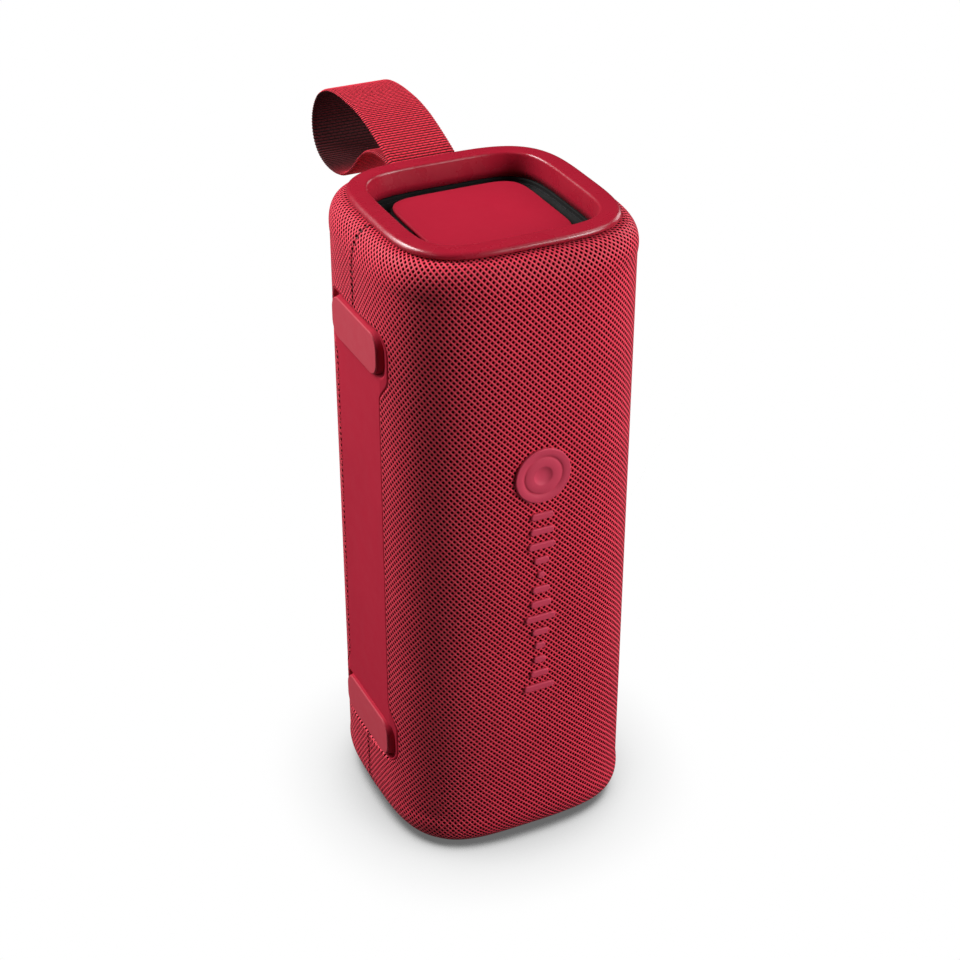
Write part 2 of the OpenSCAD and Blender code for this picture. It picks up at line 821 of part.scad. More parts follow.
fabric_sleeve();
grille_core();
cabinet_shell();
upper_end_frame();
lower_end_frame();
upper_end_ring();
lower_end_ring();
upper_radiator_plate();
lower_radiator_plate();
upper_radiator_weight();
lower_radiator_weight();
upper_radiator_surround();
lower_radiator_surround();
end_frame_screws();
front_baffle();
baffle_gasket();
baffle_screws();
upper_driver_basket();
lower_driver_basket();
upper_driver_magnet();
lower_driver_magnet();
upper_driver_cone();
lower_driver_cone();
upper_voice_coil();
lower_voice_coil();
upper_driver_surround();
lower_driver_surround();
upper_driver_spider();
lower_driver_spider();
driver_screws();
foot_strip();
upper_foot_pad();
lower_foot_pad();
badge_disc();
badge_bars();
key_panel();
power_key();
pairing_key();
volume_down_key();
play_key();
volume_up_key();
status_lights();
key_board();
key_switches();
port_frame();
port_cover();
usb_socket();
main_board();
board_parts();
battery_cells();
battery_tray();
battery_band();
battery_lead();
driver_leads();
strap_loop();
strap_tail();
strap_pin();
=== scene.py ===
"""Looks of the portable party speaker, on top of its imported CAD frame.

Everything is built in millimetres in the CAD's own frame (+Z up, badge on -Y,
foot strip on -X, key panel on +X, strap and port on +Y) and scaled to metres
when a mesh is made.
"""

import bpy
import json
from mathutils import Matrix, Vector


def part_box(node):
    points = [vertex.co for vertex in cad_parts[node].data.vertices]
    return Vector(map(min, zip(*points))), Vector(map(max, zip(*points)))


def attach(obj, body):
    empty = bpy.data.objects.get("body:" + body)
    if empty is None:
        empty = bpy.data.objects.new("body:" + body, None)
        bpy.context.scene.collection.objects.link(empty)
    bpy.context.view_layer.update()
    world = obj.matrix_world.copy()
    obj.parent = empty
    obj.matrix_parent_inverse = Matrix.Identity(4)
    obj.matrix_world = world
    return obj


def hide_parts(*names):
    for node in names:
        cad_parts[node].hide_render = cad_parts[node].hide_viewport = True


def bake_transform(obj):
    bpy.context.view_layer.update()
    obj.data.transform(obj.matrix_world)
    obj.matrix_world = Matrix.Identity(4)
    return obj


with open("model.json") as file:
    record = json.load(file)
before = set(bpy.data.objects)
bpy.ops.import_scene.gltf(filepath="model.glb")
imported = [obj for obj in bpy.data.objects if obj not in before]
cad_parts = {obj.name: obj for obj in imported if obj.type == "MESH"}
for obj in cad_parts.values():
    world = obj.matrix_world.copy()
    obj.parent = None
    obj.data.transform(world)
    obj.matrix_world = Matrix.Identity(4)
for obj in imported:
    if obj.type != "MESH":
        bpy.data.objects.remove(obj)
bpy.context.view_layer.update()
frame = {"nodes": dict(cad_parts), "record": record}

import json
import math

import bmesh
import bpy
import numpy as np
from mathutils import Matrix, Vector

MM = 0.001
TAU = 2 * math.pi


def node_box(name):
    """A CAD node's lowest and highest corner, in millimetres."""
    return [np.array(corner) * 1000 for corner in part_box(name)]


def joint_place(name):
    """The (y, z) of a hinge that runs along X, in millimetres."""
    joint = next(j for j in frame["record"]["behaviour"]["joints"] if j["name"] == name)
    return [c * 1000 for c in joint["pos_m"][1:]]


SLEEVE_LO = node_box("fabric_sleeve")[0]
HEIGHT = node_box("upper_end_ring")[1][2]
MID_Z = HEIGHT / 2
HALF = -SLEEVE_LO[1]                    # half the body's width
SQUARE = 3.0                            # squareness of the body's section,
RING_SQUARE = 3.7                       # of the end rings
OPENING_SQUARE = 4.6                    # and of the openings in them
SHOULDER_H, SHOULDER_IN = 12.2, 6.8     # a shoulder's height and how far it draws in
STRAIGHT_D = SLEEVE_LO[2] + SHOULDER_H  # depth from an end at which the side is straight
FACE = 38                               # points further out than this are on that side


# ---- shapes -----------------------------------------------------------------

def squircle(half, square, at):
    """Points of |x/half|^n + |y/half|^n = 1 at fractions of its length.

    It starts in the middle of -X and runs by way of the front.
    """
    angle = np.linspace(math.pi, 3 * math.pi, 2881)
    c, s = np.cos(angle), np.sin(angle)
    r = half * (np.abs(c) ** square + np.abs(s) ** square) ** (-1 / square)
    x, y = r * c, r * s
    run = np.concatenate([[0], np.cumsum(np.hypot(np.diff(x), np.diff(y)))])
    at = np.asarray(at) * run[-1]
    return np.stack([np.interp(at, run, x), np.interp(at, run, y)], -1)


def around(count):
    """Even fractions of the way round."""
    return np.arange(count) / count


def rounded(width, height, radius, inset=0.0, corner=10):
    """A rectangle with round corners, counter-clockwise, drawn in by inset."""
    w, h = width / 2 - inset, height / 2 - inset
    r = max(radius - inset, 0.05)
    points = []
    for k, (cx, cy) in enumerate([(1, 1), (-1, 1), (-1, -1), (1, -1)]):
        for i in range(corner + 1):
            a = math.pi / 2 * (k + i / corner)
            points.append((cx * (w - r) + r * math.cos(a), cy * (h - r) + r * math.sin(a)))
    return np.array(points)


def disc(radius, inset=0.0, count=96):
    a = np.arange(count) / count * TAU
    return np.stack([np.cos(a), np.sin(a)], -1) * (radius - inset)


# Flat outlines (a, b) at height h stand on the four sides of the body

def on_left(a, b, h):
    return np.stack([-h + 0 * a, -a, b], -1)


def on_right(a, b, h):
    return np.stack([h + 0 * a, a, b], -1)


def on_front(a, b, h):
    return np.stack([a, -h + 0 * a, b], -1)


def on_back(a, b, h):
    return np.stack([-a, h + 0 * a, b], -1)


def fillet(inset0, h0, radius, steps=6):
    """(inset, height) down a quarter round that ends at height h0."""
    return [(inset0 + radius * (1 - math.cos(a)), h0 - radius + radius * math.sin(a))
            for a in np.linspace(0, math.pi / 2, steps + 1)]


def ease(v, low, high):
    """A smooth step from 0 at low to 1 at high, which may be the smaller one."""
    t = np.clip((v - low) / (high - low), 0, 1)
    return t * t * (3 - 2 * t)


def box_distance(u, v, half_u, half_v, radius):
    """Signed distance to a rounded rectangle about 0, negative inside."""
    du, dv = np.abs(u) - (half_u - radius), np.abs(v) - (half_v - radius)
    out = np.hypot(np.maximum(du, 0), np.maximum(dv, 0))
    return out + np.minimum(np.maximum(du, dv), 0) - radius


# ---- meshes -----------------------------------------------------------------

def skin(name, rings, paint, body="root", wrap=True, low=False, high=False, uv=None,
         flip=False, weighted=True):
    """A mesh through rings of points in millimetres, with optional end caps."""
    rings = np.asarray(rings, float)
    rows, cols = rings.shape[:2]
    wide = cols if wrap else cols - 1
    r, c = np.meshgrid(np.arange(rows - 1), np.arange(wide), indexing="ij")
    r, c = r.ravel(), c.ravel()
    corners = [(r, c), (r, c + 1), (r + 1, c + 1), (r + 1, c)]
    if flip:
        corners = corners[::-1]
    quads = np.stack([i * cols + j % cols for i, j in corners], -1)
    faces = quads.tolist()
    if low:
        faces.append(list(range(cols))[::1 if flip else -1])
    if high:
        faces.append([(rows - 1) * cols + j for j in range(cols)][::-1 if flip else 1])
    mesh = bpy.data.meshes.new(name)
    mesh.from_pydata((rings.reshape(-1, 3) * MM).tolist(), [], faces)
    mesh.shade_smooth()
    if uv is not None:
        layer = mesh.uv_layers.new(name="UVMap")
        flat = np.zeros((len(mesh.loops), 2))
        flat[:len(quads) * 4] = np.stack([uv[i, j] for i, j in corners], 1).reshape(-1, 2)
        layer.data.foreach_set("uv", flat.ravel())
    mesh.update()
    obj = bpy.data.objects.new(name, mesh)
    bpy.context.scene.collection.objects.link(obj)
    obj.data.materials.append(paint)
    if weighted:
        obj.modifiers.new("Even normals", "WEIGHTED_NORMAL").weight = 90
    if body:
        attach(obj, body)
    return obj


def stack(name, side, outline, levels, paint, centre=(0, 0), **more):
    """Copies of a flat outline, one per (inset, height), joined and capped."""
    rings = []
    for inset, height in levels:
        p = outline(inset)
        rings.append(side(p[:, 0] + centre[0], p[:, 1] + centre[1], height))
    more.setdefault("high", True)
    return skin(name, rings, paint, **more)


def barrel_ring(half, square, z, at):
    p = squircle(half, square, at)
    return np.column_stack([p, np.full(len(p), z)])


def weld(obj):
    """Joins the doubled points where a shape closes on itself."""
    change = obj.modifiers.new("Weld", "WELD")
    with bpy.context.temp_override(object=obj, active_object=obj):
        bpy.ops.object.modifier_move_to_index(modifier=change.name, index=0)
        bpy.ops.object.modifier_apply(modifier=change.name)


def cut(obj, cutters):
    """Cuts closed shapes out of a closed piece."""
    for cutter in cutters:
        change = obj.modifiers.new("Cut", "BOOLEAN")
        change.object = cutter
        with bpy.context.temp_override(object=obj, active_object=obj):
            bpy.ops.object.modifier_move_to_index(modifier=change.name, index=0)
            bpy.ops.object.modifier_apply(modifier=change.name)
        bpy.data.objects.remove(cutter)
    obj.data.shade_smooth()


def join(name, objects):
    """One object from several that ride on the same body."""
    bpy.ops.object.select_all(action="DESELECT")
    for o in objects:
        o.select_set(True)
    bpy.context.view_layer.objects.active = objects[0]
    bpy.ops.object.join()
    objects[0].name = name
    return objects[0]


# ---- materials --------------------------------------------------------------

class Paint:
    """A node material being built round one Principled shader."""

    def __init__(self, name, colour, roughness, **sockets):
        self.mat = bpy.data.materials.new(name)
        self.mat.use_nodes = True
        self.tree = self.mat.node_tree
        self.bsdf = self.tree.nodes["Principled BSDF"]
        self.bsdf.inputs["Base Color"].default_value = (*colour, 1)
        self.bsdf.inputs["Roughness"].default_value = roughness
        for key, value in sockets.items():
            self.bsdf.inputs[key.replace("_", " ")].default_value = value
        self.height = None

    def add(self, kind, inputs=(), **props):
        n = self.tree.nodes.new("ShaderNode" + kind)
        for key, value in props.items():
            setattr(n, key, value)
        for key, value in dict(inputs).items():
            if isinstance(value, bpy.types.NodeSocket):
                self.tree.links.new(value, n.inputs[key])
            else:
                n.inputs[key].default_value = value
        return n

    def math(self, operation, *values):
        return self.add("Math", enumerate(values), operation=operation).outputs[0]

    def wave(self, value):
        """Cosine of a value counted in turns."""
        return self.math("COSINE", self.math("MULTIPLY", value, TAU))

    def smooth(self, value, low, high):
        n = self.add("MapRange", {0: value, 1: low, 2: high}, interpolation_type="SMOOTHSTEP")
        return n.outputs[0]

    def mix(self, factor, a, b):
        n = self.add("Mix", data_type="RGBA")
        for socket, value in ((n.inputs[0], factor), (n.inputs[6], a), (n.inputs[7], b)):
            if isinstance(value, bpy.types.NodeSocket):
                self.tree.links.new(value, socket)
            else:
                socket.default_value = (*value, 1) if isinstance(value, tuple) else value
        return n.outputs[2]

    def place(self):
        return self.add("TexCoord").outputs["Object"]

    def noise(self, scale, detail=3.0, vector=None):
        inputs = {"Vector": vector or self.place(), "Scale": scale, "Detail": detail}
        return self.add("TexNoise", inputs).outputs[0]

    def colour(self, socket):
        self.tree.links.new(socket, self.bsdf.inputs["Base Color"])
        return self

    def rough(self, value, low, high):
        n = self.add("MapRange", {0: value, 1: 0.3, 2: 0.7, 3: low, 4: high})
        self.tree.links.new(n.outputs[0], self.bsdf.inputs["Roughness"])
        return self

    def bump(self, height, depth, strength=1.0):
        """Adds a height from 0 to 1, in millimetres of depth."""
        inputs = {"Height": height, "Distance": depth * MM, "Strength": strength}
        if self.height:
            inputs["Normal"] = self.height
        n = self.add("Bump", inputs)
        self.height = n.outputs[0]
        self.tree.links.new(self.height, self.bsdf.inputs["Normal"])
        return self


# The knit's two sets of threads, as turns per millimetre along (round, up)
THREAD_A = (0.475, 0.468)
THREAD_B = (0.520, -0.405)
SEAM_STITCH = 2.6


def knit_paint(round_length):
    """Mesh knit: two crossing sets of threads, painted lighter on their crests as a painted highlight,
    with a hole in each cell painted near black as painted shade.
    """
    p = Paint("knit_red", (0.5, 0.03, 0.06), 0.5, Sheen_Weight=0.04,
              Sheen_Roughness=0.4, Sheen_Tint=(1.0, 0.35, 0.4, 1))
    place = p.add("UVMap").outputs[0]
    drift = p.add("TexNoise", {"Vector": p.place(), "Scale": 90.0, "Detail": 2.0})
    drift = p.add("VectorMath", {0: drift.outputs["Color"], 1: (0.5, 0.5, 0.5)},
                  operation="SUBTRACT").outputs[0]
    drift = p.add("VectorMath", {0: drift, "Scale": 0.00035}, operation="SCALE").outputs[0]
    place = p.add("VectorMath", {0: place, 1: drift}, operation="ADD").outputs[0]
    waves = []
    for gx, gy in (THREAD_A, THREAD_B):
        turns = p.add("VectorMath", {0: place, 1: (gx / MM, gy / MM, 0)},
                      operation="DOT_PRODUCT").outputs["Value"]
        waves.append(p.wave(turns))
    a, b = waves
    hole = p.smooth(p.math("ADD", p.math("MULTIPLY", a, 0.52), p.math("MULTIPLY", b, 0.48)),
                    0.08, 0.52)
    crest = p.smooth(p.math("MULTIPLY", a, -1.0), -0.1, 1.0)
    cross = p.smooth(p.math("MULTIPLY", b, -1.0), -0.1, 1.0)
    # painted highlight and painted shade: thread colour runs from dark down the sides to light on the
    # crests
    over = p.math("MAXIMUM", crest, p.math("MULTIPLY", cross, 0.6))
    threads_with_painted_light = p.mix(over, (0.34, 0.008, 0.018), (0.90, 0.050, 0.098))
    patch = p.mix(p.noise(26.0), (0.86, 0.86, 0.86), (1.12, 1.12, 1.12))
    shade = p.add("Mix", data_type="RGBA", blend_type="MULTIPLY")
    shade.inputs[0].default_value = 1.0
    p.tree.links.new(threads_with_painted_light, shade.inputs[6])
    p.tree.links.new(patch, shade.inputs[7])
    # painted shade: the holes are painted near black for the dark seen through them
    colour = p.mix(hole, shade.outputs[2], (0.014, 0.0003, 0.0006))
    # stitch holes down the seam, where the two ends of the knit meet
    where = p.add("SeparateXYZ", {0: place})
    off = p.math("MINIMUM", p.math("ABSOLUTE", where.outputs[0]),
                 p.math("ABSOLUTE", p.math("SUBTRACT", where.outputs[0], round_length * MM)))
    near = p.smooth(off, 0.0006, 0.00025)
    stitch = p.smooth(p.wave(p.math("DIVIDE", where.outputs[1], SEAM_STITCH * MM)), -0.85, 0.2)
    dark = p.math("MULTIPLY", near, p.math("ADD", p.math("MULTIPLY", stitch, 0.75), 0.2))
    colour = p.mix(dark, colour, (0.012, 0.0005, 0.001))
    p.colour(colour)
    shine = p.math("MULTIPLY", p.math("SUBTRACT", 1.0, hole), 0.26)
    p.tree.links.new(shine, p.bsdf.inputs["Specular IOR Level"])
    top = p.math("MAXIMUM", crest, p.math("MULTIPLY", cross, 0.75))
    p.bump(p.math("MULTIPLY", top, p.math("SUBTRACT", 1.0, hole)), 0.32, 0.9)
    p.bump(p.noise(5200.0, 2.0), 0.04, 0.5)
    return p.mat


RIB_PITCH = 1.24
YARN_PITCH = 2.3


def webbing_paint():
    """Ribbed webbing: floats of yarn across each rib, staggered rib by rib, with painted shade in the
    grooves between ribs and painted light on the crests.
    """
    p = Paint("webbing_red", (0.5, 0.03, 0.06), 0.7, Sheen_Weight=0.08,
              Sheen_Roughness=0.4, Sheen_Tint=(1.0, 0.4, 0.45, 1), Specular_IOR_Level=0.15)
    where = p.add("SeparateXYZ", {0: p.add("UVMap").outputs[0]})
    rib = p.math("DIVIDE", where.outputs[1], RIB_PITCH * MM)
    row = p.math("FLOOR", rib)
    yarn = p.math("ADD", p.math("DIVIDE", where.outputs[0], YARN_PITCH * MM),
                  p.math("MULTIPLY", row, 0.5))
    crest = p.smooth(p.math("MULTIPLY", p.wave(rib), -1.0), -0.8, 0.1)
    dash = p.smooth(p.wave(yarn), -1.0, -0.5)
    lit = p.math("MULTIPLY", crest, p.math("ADD", p.math("MULTIPLY", dash, 0.4), 0.6))
    base = p.mix(p.noise(700.0, 2.0), (0.62, 0.020, 0.042), (0.84, 0.040, 0.075))
    # painted shade: the grooves between ribs are painted near black, while the lit crests keep the base
    # colour
    colour = p.mix(lit, (0.030, 0.0008, 0.0016), base)
    # painted shade, near black, where the mesh is marked as the inside of the loop
    inside = p.add("Attribute", attribute_name="inside").outputs["Fac"]
    p.colour(p.mix(inside, colour, (0.004, 0.0001, 0.0002)))
    p.bump(lit, 0.3, 0.9)
    twist = p.wave(p.math("ADD", p.math("MULTIPLY", yarn, 5.0), rib))
    p.bump(twist, 0.05, 0.35)
    return p.mat


def moulded(name, colour, roughness, grain=2600.0, depth=0.012, **sockets):
    """Soft-touch or plain moulding: fine grain and a slow drift of tone and gloss."""
    p = Paint(name, colour, roughness, **sockets)
    slow = p.noise(38.0, 4.0)
    dark, light = (tuple(c * k for c in colour) for k in (0.90, 1.08))
    p.colour(p.mix(slow, dark, light))
    p.rough(p.noise(160.0, 5.0), roughness - 0.05, roughness + 0.06)
    return p.bump(p.noise(grain, 2.0), depth, 0.6).mat


def metal(name, colour, roughness, grain=(900, 900, 60)):
    """Plated or brushed metal with streaks along one axis."""
    p = Paint(name, colour, roughness, Metallic=1.0)
    stretch = p.add("Mapping", {0: p.place(), 3: grain}).outputs[0]
    streak = p.noise(1.0, 3.0, stretch)
    p.colour(p.mix(streak, tuple(c * 0.82 for c in colour), colour))
    p.rough(streak, roughness - 0.08, roughness + 0.1)
    return p.bump(streak, 0.01, 0.4).mat


def woven(name, colour, pitch):
    """Fine plain weave for inner cloth parts."""
    p = Paint(name, colour, 0.85, Sheen_Weight=0.2)
    where = p.add("SeparateXYZ", {0: p.place()})
    over = p.math("MULTIPLY", p.wave(p.math("DIVIDE", where.outputs[0], pitch * MM)),
                  p.wave(p.math("DIVIDE", where.outputs[2], pitch * MM)))
    over = p.smooth(over, -1.0, 1.0)
    p.colour(p.mix(over, tuple(c * 0.6 for c in colour), colour))
    return p.bump(over, 0.1, 0.8).mat


def board_paint(name, colour):
    """Solder mask with faint copper lines under it."""
    p = Paint(name, colour, 0.35)
    cells = p.add("TexVoronoi", {"Vector": p.place(), "Scale": 420.0},
                  feature="DISTANCE_TO_EDGE", distance="CHEBYCHEV").outputs[0]
    line = p.smooth(cells, 0.10, 0.04)
    p.colour(p.mix(line, colour, tuple(min(c * 2.2 + 0.01, 1) for c in colour)))
    return p.bump(line, 0.03, 0.5).mat


section = squircle(HALF, SQUARE, around(4000))
LENGTH_ROUND = float(np.hypot(*(np.roll(section, -1, 0) - section).T).sum())

SOFT_RED = (0.34, 0.010, 0.027)
paints = {
    "knit_red": knit_paint(LENGTH_ROUND),
    "webbing_red": webbing_paint(),
    "soft_red": moulded("soft_red", SOFT_RED, 0.27, Specular_IOR_Level=0.5),
    "strip_red": moulded("strip_red", (0.40, 0.015, 0.037), 0.7, Specular_IOR_Level=0.08),
    "badge_red": moulded("badge_red", (0.58, 0.046, 0.094), 0.6, 2000.0, 0.03,
                         Specular_IOR_Level=0.3),
    "radiator_red": moulded("radiator_red", (0.36, 0.010, 0.029), 0.6, Specular_IOR_Level=0.08),
    "pad_red": moulded("pad_red", (0.46, 0.036, 0.060), 0.6, depth=0.02,
                       Specular_IOR_Level=0.3),
    "key_red": moulded("key_red", (0.36, 0.017, 0.036), 0.55, depth=0.02),
    "black_rubber": moulded("black_rubber", (0.004, 0.004, 0.004), 0.7, 1800.0, 0.02,
                            Specular_IOR_Level=0.15),
    "black_plastic": moulded("black_plastic", (0.022, 0.022, 0.024), 0.5, 1500.0, 0.03),
    "steel": metal("steel", (0.62, 0.63, 0.65), 0.3),
    "iron": moulded("iron", (0.02, 0.02, 0.022), 0.38, 1400.0, 0.02, Metallic=0.6),
    "cone_black": moulded("cone_black", (0.016, 0.016, 0.018), 0.75, 900.0, 0.05),
    "copper": metal("copper", (0.80, 0.38, 0.20), 0.3, (60, 4000, 60)),
    "spider_cloth": woven("spider_cloth", (0.55, 0.38, 0.14), 0.5),
    "board_green": board_paint("board_green", (0.01, 0.10, 0.045)),
    "chip_black": moulded("chip_black", (0.02, 0.02, 0.02), 0.45, 2200.0, 0.01),
    "cell_wrap": moulded("cell_wrap", (0.02, 0.16, 0.20), 0.25, 500.0, 0.01),
    "lens_white": moulded("lens_white", (0.80, 0.80, 0.76), 0.25, 900.0, 0.005),
    "wire_red": moulded("wire_red", (0.40, 0.01, 0.01), 0.45, 1500.0, 0.01),
    "wire_grey": moulded("wire_grey", (0.09, 0.09, 0.10), 0.45, 1500.0, 0.01),
}

slot_of = {s["node"]: s["material_slot"] for s in frame["record"]["subparts"]}
for node, obj in frame["nodes"].items():
    for slot in obj.material_slots:
        slot.material = paints[slot_of[node]]


# ---- foot strip and pads ----------------------------------------------------

STRIP_LO, STRIP_HI = node_box("foot_strip")
PADS = [node_box(n) for n in ("lower_foot_pad", "upper_foot_pad")]
STRIP_X = 45.6                  # flat of the strip
STRIP_HALF = 18.0               # half width between the pads
STRIP_PROUD = 0.12              # height of its long edges over the knit
EDGE_R = 0.55                   # round of its edge
FLARE_HALF = 23.2               # half width round the pads
FLARE_LONG = 20.5               # length of a flare
FLARE_R = 7.5
PAD_R = 5.5
# A groove runs round each pad, except on the side that faces the strip's middle. It goes
# from nothing to its full depth between the two values of each pair:
MOAT_DEPTH = 1.7
MOAT_RISE = (3.2, 1.7)          # distance from the pad
LIP_RISE = (0.7, 1.6)           # distance from the strip's edge
MOAT_START = (-8.0, -5.0)       # place past the pad's middle, counted from the strip's


def body_x(y):
    """Distance of the sleeve's surface from the middle at a given y."""
    return HALF * (1 - np.minimum(np.abs(y) / HALF, 1) ** SQUARE) ** (1 / SQUARE)


def strip_half_width(z):
    """The strip flares out round each pad and ends in round corners."""
    end = np.minimum(z - STRIP_LO[2], STRIP_HI[2] - z)
    narrow = ease(end, FLARE_LONG - 4.5, FLARE_LONG + 5.5)
    w = FLARE_HALF - (FLARE_HALF - STRIP_HALF) * narrow
    tip = np.clip(FLARE_R - end, 0, FLARE_R)
    return w - (FLARE_R - np.sqrt(FLARE_R ** 2 - tip ** 2))


def strip_rows():
    """Heights of the strip's rows, close together at its ends and round the pads."""
    edge, past_pad = 0.8, 30
    half_rows = np.concatenate([np.arange(0, edge, 0.1), np.arange(edge, past_pad, 0.3),
                                np.arange(past_pad, MID_Z - STRIP_LO[2], 3.0)])
    rows = STRIP_LO[2] + half_rows
    return np.concatenate([rows, (2 * MID_Z - rows)[::-1]])


def strip_columns():
    """Places across the strip from -1 to 1, close together at its edges."""
    edge = np.array([0, 0.004, 0.01, 0.018, 0.028, 0.04])
    return np.concatenate([-1 + edge, np.linspace(-0.955, 0.955, 130), (1 - edge)[::-1]])


def pad_moat(lo, hi, y, z, rim):
    """Depth from 0 to 1 of the groove round a pad."""
    middle = (lo[2] + hi[2]) / 2
    off = box_distance(y, z - middle, hi[1], (hi[2] - lo[2]) / 2, PAD_R)
    from_mid = abs(MID_Z - middle)
    beyond = ease(np.abs(z - MID_Z), from_mid + MOAT_START[0], from_mid + MOAT_START[1])
    return ease(off, *MOAT_RISE) * ease(rim, *LIP_RISE) * beyond


def pad_boss(lo, hi):
    """The wall of strip rubber that a pad is set into."""
    outline = lambda inset: rounded(hi[1] - lo[1], hi[2] - lo[2], PAD_R, inset)
    top = -lo[0] - 0.5
    levels = [(-0.55, -hi[0]), (-0.45, STRIP_X - 0.9), (-0.15, STRIP_X - 0.1),
              (0.05, top), (0.5, top + 0.05)]
    return stack("boss", on_left, outline, levels, paints["strip_red"],
                 centre=(0, (lo[2] + hi[2]) / 2))


def make_strip():
    zz, uu = np.meshgrid(strip_rows(), strip_columns(), indexing="ij")
    ww = strip_half_width(zz)
    yy = uu * ww
    x = np.minimum(STRIP_X, body_x(yy) + STRIP_PROUD)
    rim = np.minimum(ww * (1 - np.abs(uu)),
                     np.minimum(zz - STRIP_LO[2], STRIP_HI[2] - zz))
    for lo, hi in PADS:
        x = x - MOAT_DEPTH * pad_moat(lo, hi, yy, zz, rim)
    fall = np.clip(EDGE_R - rim, 0, EDGE_R)
    x = x - (EDGE_R - np.sqrt(EDGE_R ** 2 - fall ** 2))
    grid = np.stack([-x, -yy, zz], -1)
    top = skin("foot_strip_top", grid, paints["strip_red"], wrap=False)
    # a skirt: the border, then the border sunk inwards
    border = np.concatenate([grid[0], grid[1:, -1], grid[-1, -2::-1], grid[-2:0:-1, 0]])
    sunk = border.copy()
    sunk[:, 0] += 2.0
    skirt = skin("foot_strip_skirt", [sunk, border], paints["strip_red"])
    return join("foot_strip_moulding", [top, skirt] + [pad_boss(lo, hi) for lo, hi in PADS])


strip = make_strip()
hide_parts("foot_strip")

for (lo, hi), name in zip(PADS, ("lower_foot_pad", "upper_foot_pad")):
    width, length, top = hi[1] - lo[1], hi[2] - lo[2], -lo[0]
    # a wall, a round edge and a face that is very slightly crowned
    levels = [(0.3, top - 1.2), (0.12, top - 0.6)] + fillet(0.12, top, 0.4) \
        + [(3.0, top + 0.02), (6.0, top + 0.03)]
    pad = stack(name + "_rubber", on_left, lambda i: rounded(width, length, PAD_R, i), levels,
                paints["pad_red"], centre=(0, (lo[2] + hi[2]) / 2), low=True)
    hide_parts(name)


# ---- knitted sleeve ---------------------------------------------------------

PANEL_LO, PANEL_HI = node_box("key_panel")
PORT_LO, PORT_HI = node_box("port_frame")
SWING_Y, SWING_Z = joint_place("strap_swing")
PANEL_R, PORT_R = 10.5, 4       # corners of the key panel and of the port frame


def strip_distance(y, z):
    """Signed distance to the strip's outline, close enough near its edge."""
    w = strip_half_width(np.clip(z, STRIP_LO[2], STRIP_HI[2]))
    beside = np.abs(y) - w
    past = np.maximum(STRIP_LO[2] - z, z - STRIP_HI[2])
    return np.where(past > 0, np.hypot(np.maximum(beside, 0), past),
                    np.maximum(beside, past))


def tuck(distance):
    """Depth of the knit at an edge it is tucked under: a small roll, then a drop."""
    roll = 0.16 * np.exp(-((distance - 0.9) / 0.6) ** 2)
    return 1.7 * ease(distance, 0.42, -0.3) - roll


def spaced(marks, coarse, fine, low, high):
    """Positions from low to high, fine within each (from, to) mark."""
    out, p = [], low
    while p < high - 1e-6:
        out.append(p)
        p += fine if any(a <= p < b for a, b in marks) else coarse
    return np.array(out + [high])


def sleeve_rows():
    """(half width, squareness, height) of each row, and the number of the first straight one.

    They run from under the lower flange, round the shoulder, up the side and back.
    """
    fine = [(STRIP_LO[2] - 2, STRIP_LO[2] + 9), (PORT_LO[2] - 2, PORT_HI[2] + 2),
            (PANEL_LO[2] - 2, PANEL_LO[2] + 12), (PANEL_HI[2] - 12, PANEL_HI[2] + 2),
            (STRIP_HI[2] - 9, STRIP_HI[2] + 2)]
    side_z = spaced(fine, 1.2, 0.4, STRAIGHT_D, HEIGHT - STRAIGHT_D)
    under = SLEEVE_LO[2] + 0.4
    low = [(36.0, RING_SQUARE, under), (37.8, RING_SQUARE, under)]
    for a in np.radians(np.linspace(90, 0, 34)[:-1]):
        low.append((HALF - SHOULDER_IN * (1 - math.cos(a)),
                    SQUARE + (RING_SQUARE - SQUARE) * math.sin(a),
                    STRAIGHT_D - (SHOULDER_H - 0.4) * math.sin(a)))
    rows = low + [(HALF, SQUARE, z) for z in side_z] \
        + [(h, n, HEIGHT - d) for h, n, d in low[::-1]]
    return rows, len(low)


def sleeve_columns():
    """Lengths round the body, close together at the seam and at the windows' edges."""
    quarter = LENGTH_ROUND / 4
    fine = []
    for centre, reach in ((0, 3), (STRIP_HALF, 3), (FLARE_HALF, 3.5),
                          (2 * quarter - 11, 3), (2 * quarter + 11, 3),
                          (3 * quarter - 14.5, 4), (3 * quarter + 14.5, 4)):
        for c in (centre, LENGTH_ROUND - centre):
            fine.append((c - reach, c + reach))
    return spaced(fine, 1.1, 0.35, 0, LENGTH_ROUND)


def window_depth(x, y, z):
    """Depth of the knit where it is tucked in round the four things that sit in it."""
    depth = np.where(x < -FACE, tuck(strip_distance(y, z)), 0)
    _, panel_y, panel_z = (PANEL_HI - PANEL_LO) / 2
    d = box_distance(y, z - (PANEL_LO + PANEL_HI)[2] / 2, panel_y, panel_z, PANEL_R)
    depth = depth + np.where(x > FACE, tuck(d), 0)
    port_x, _, port_z = (PORT_HI - PORT_LO) / 2
    d = box_distance(x, z - (PORT_LO + PORT_HI)[2] / 2, port_x, port_z, PORT_R)
    depth += np.where(y > FACE, tuck(d), 0)
    # slot the strap comes out of, in the shoulder
    d = box_distance(x, z - (SWING_Z - 0.4), 13.2, 2.0, 1.6)
    slot = 2.6 * ease(d, 0.6, -0.5) - 0.3 * np.exp(-((d - 1) / 0.7) ** 2)
    return depth + np.where(y > FACE, slot, 0)


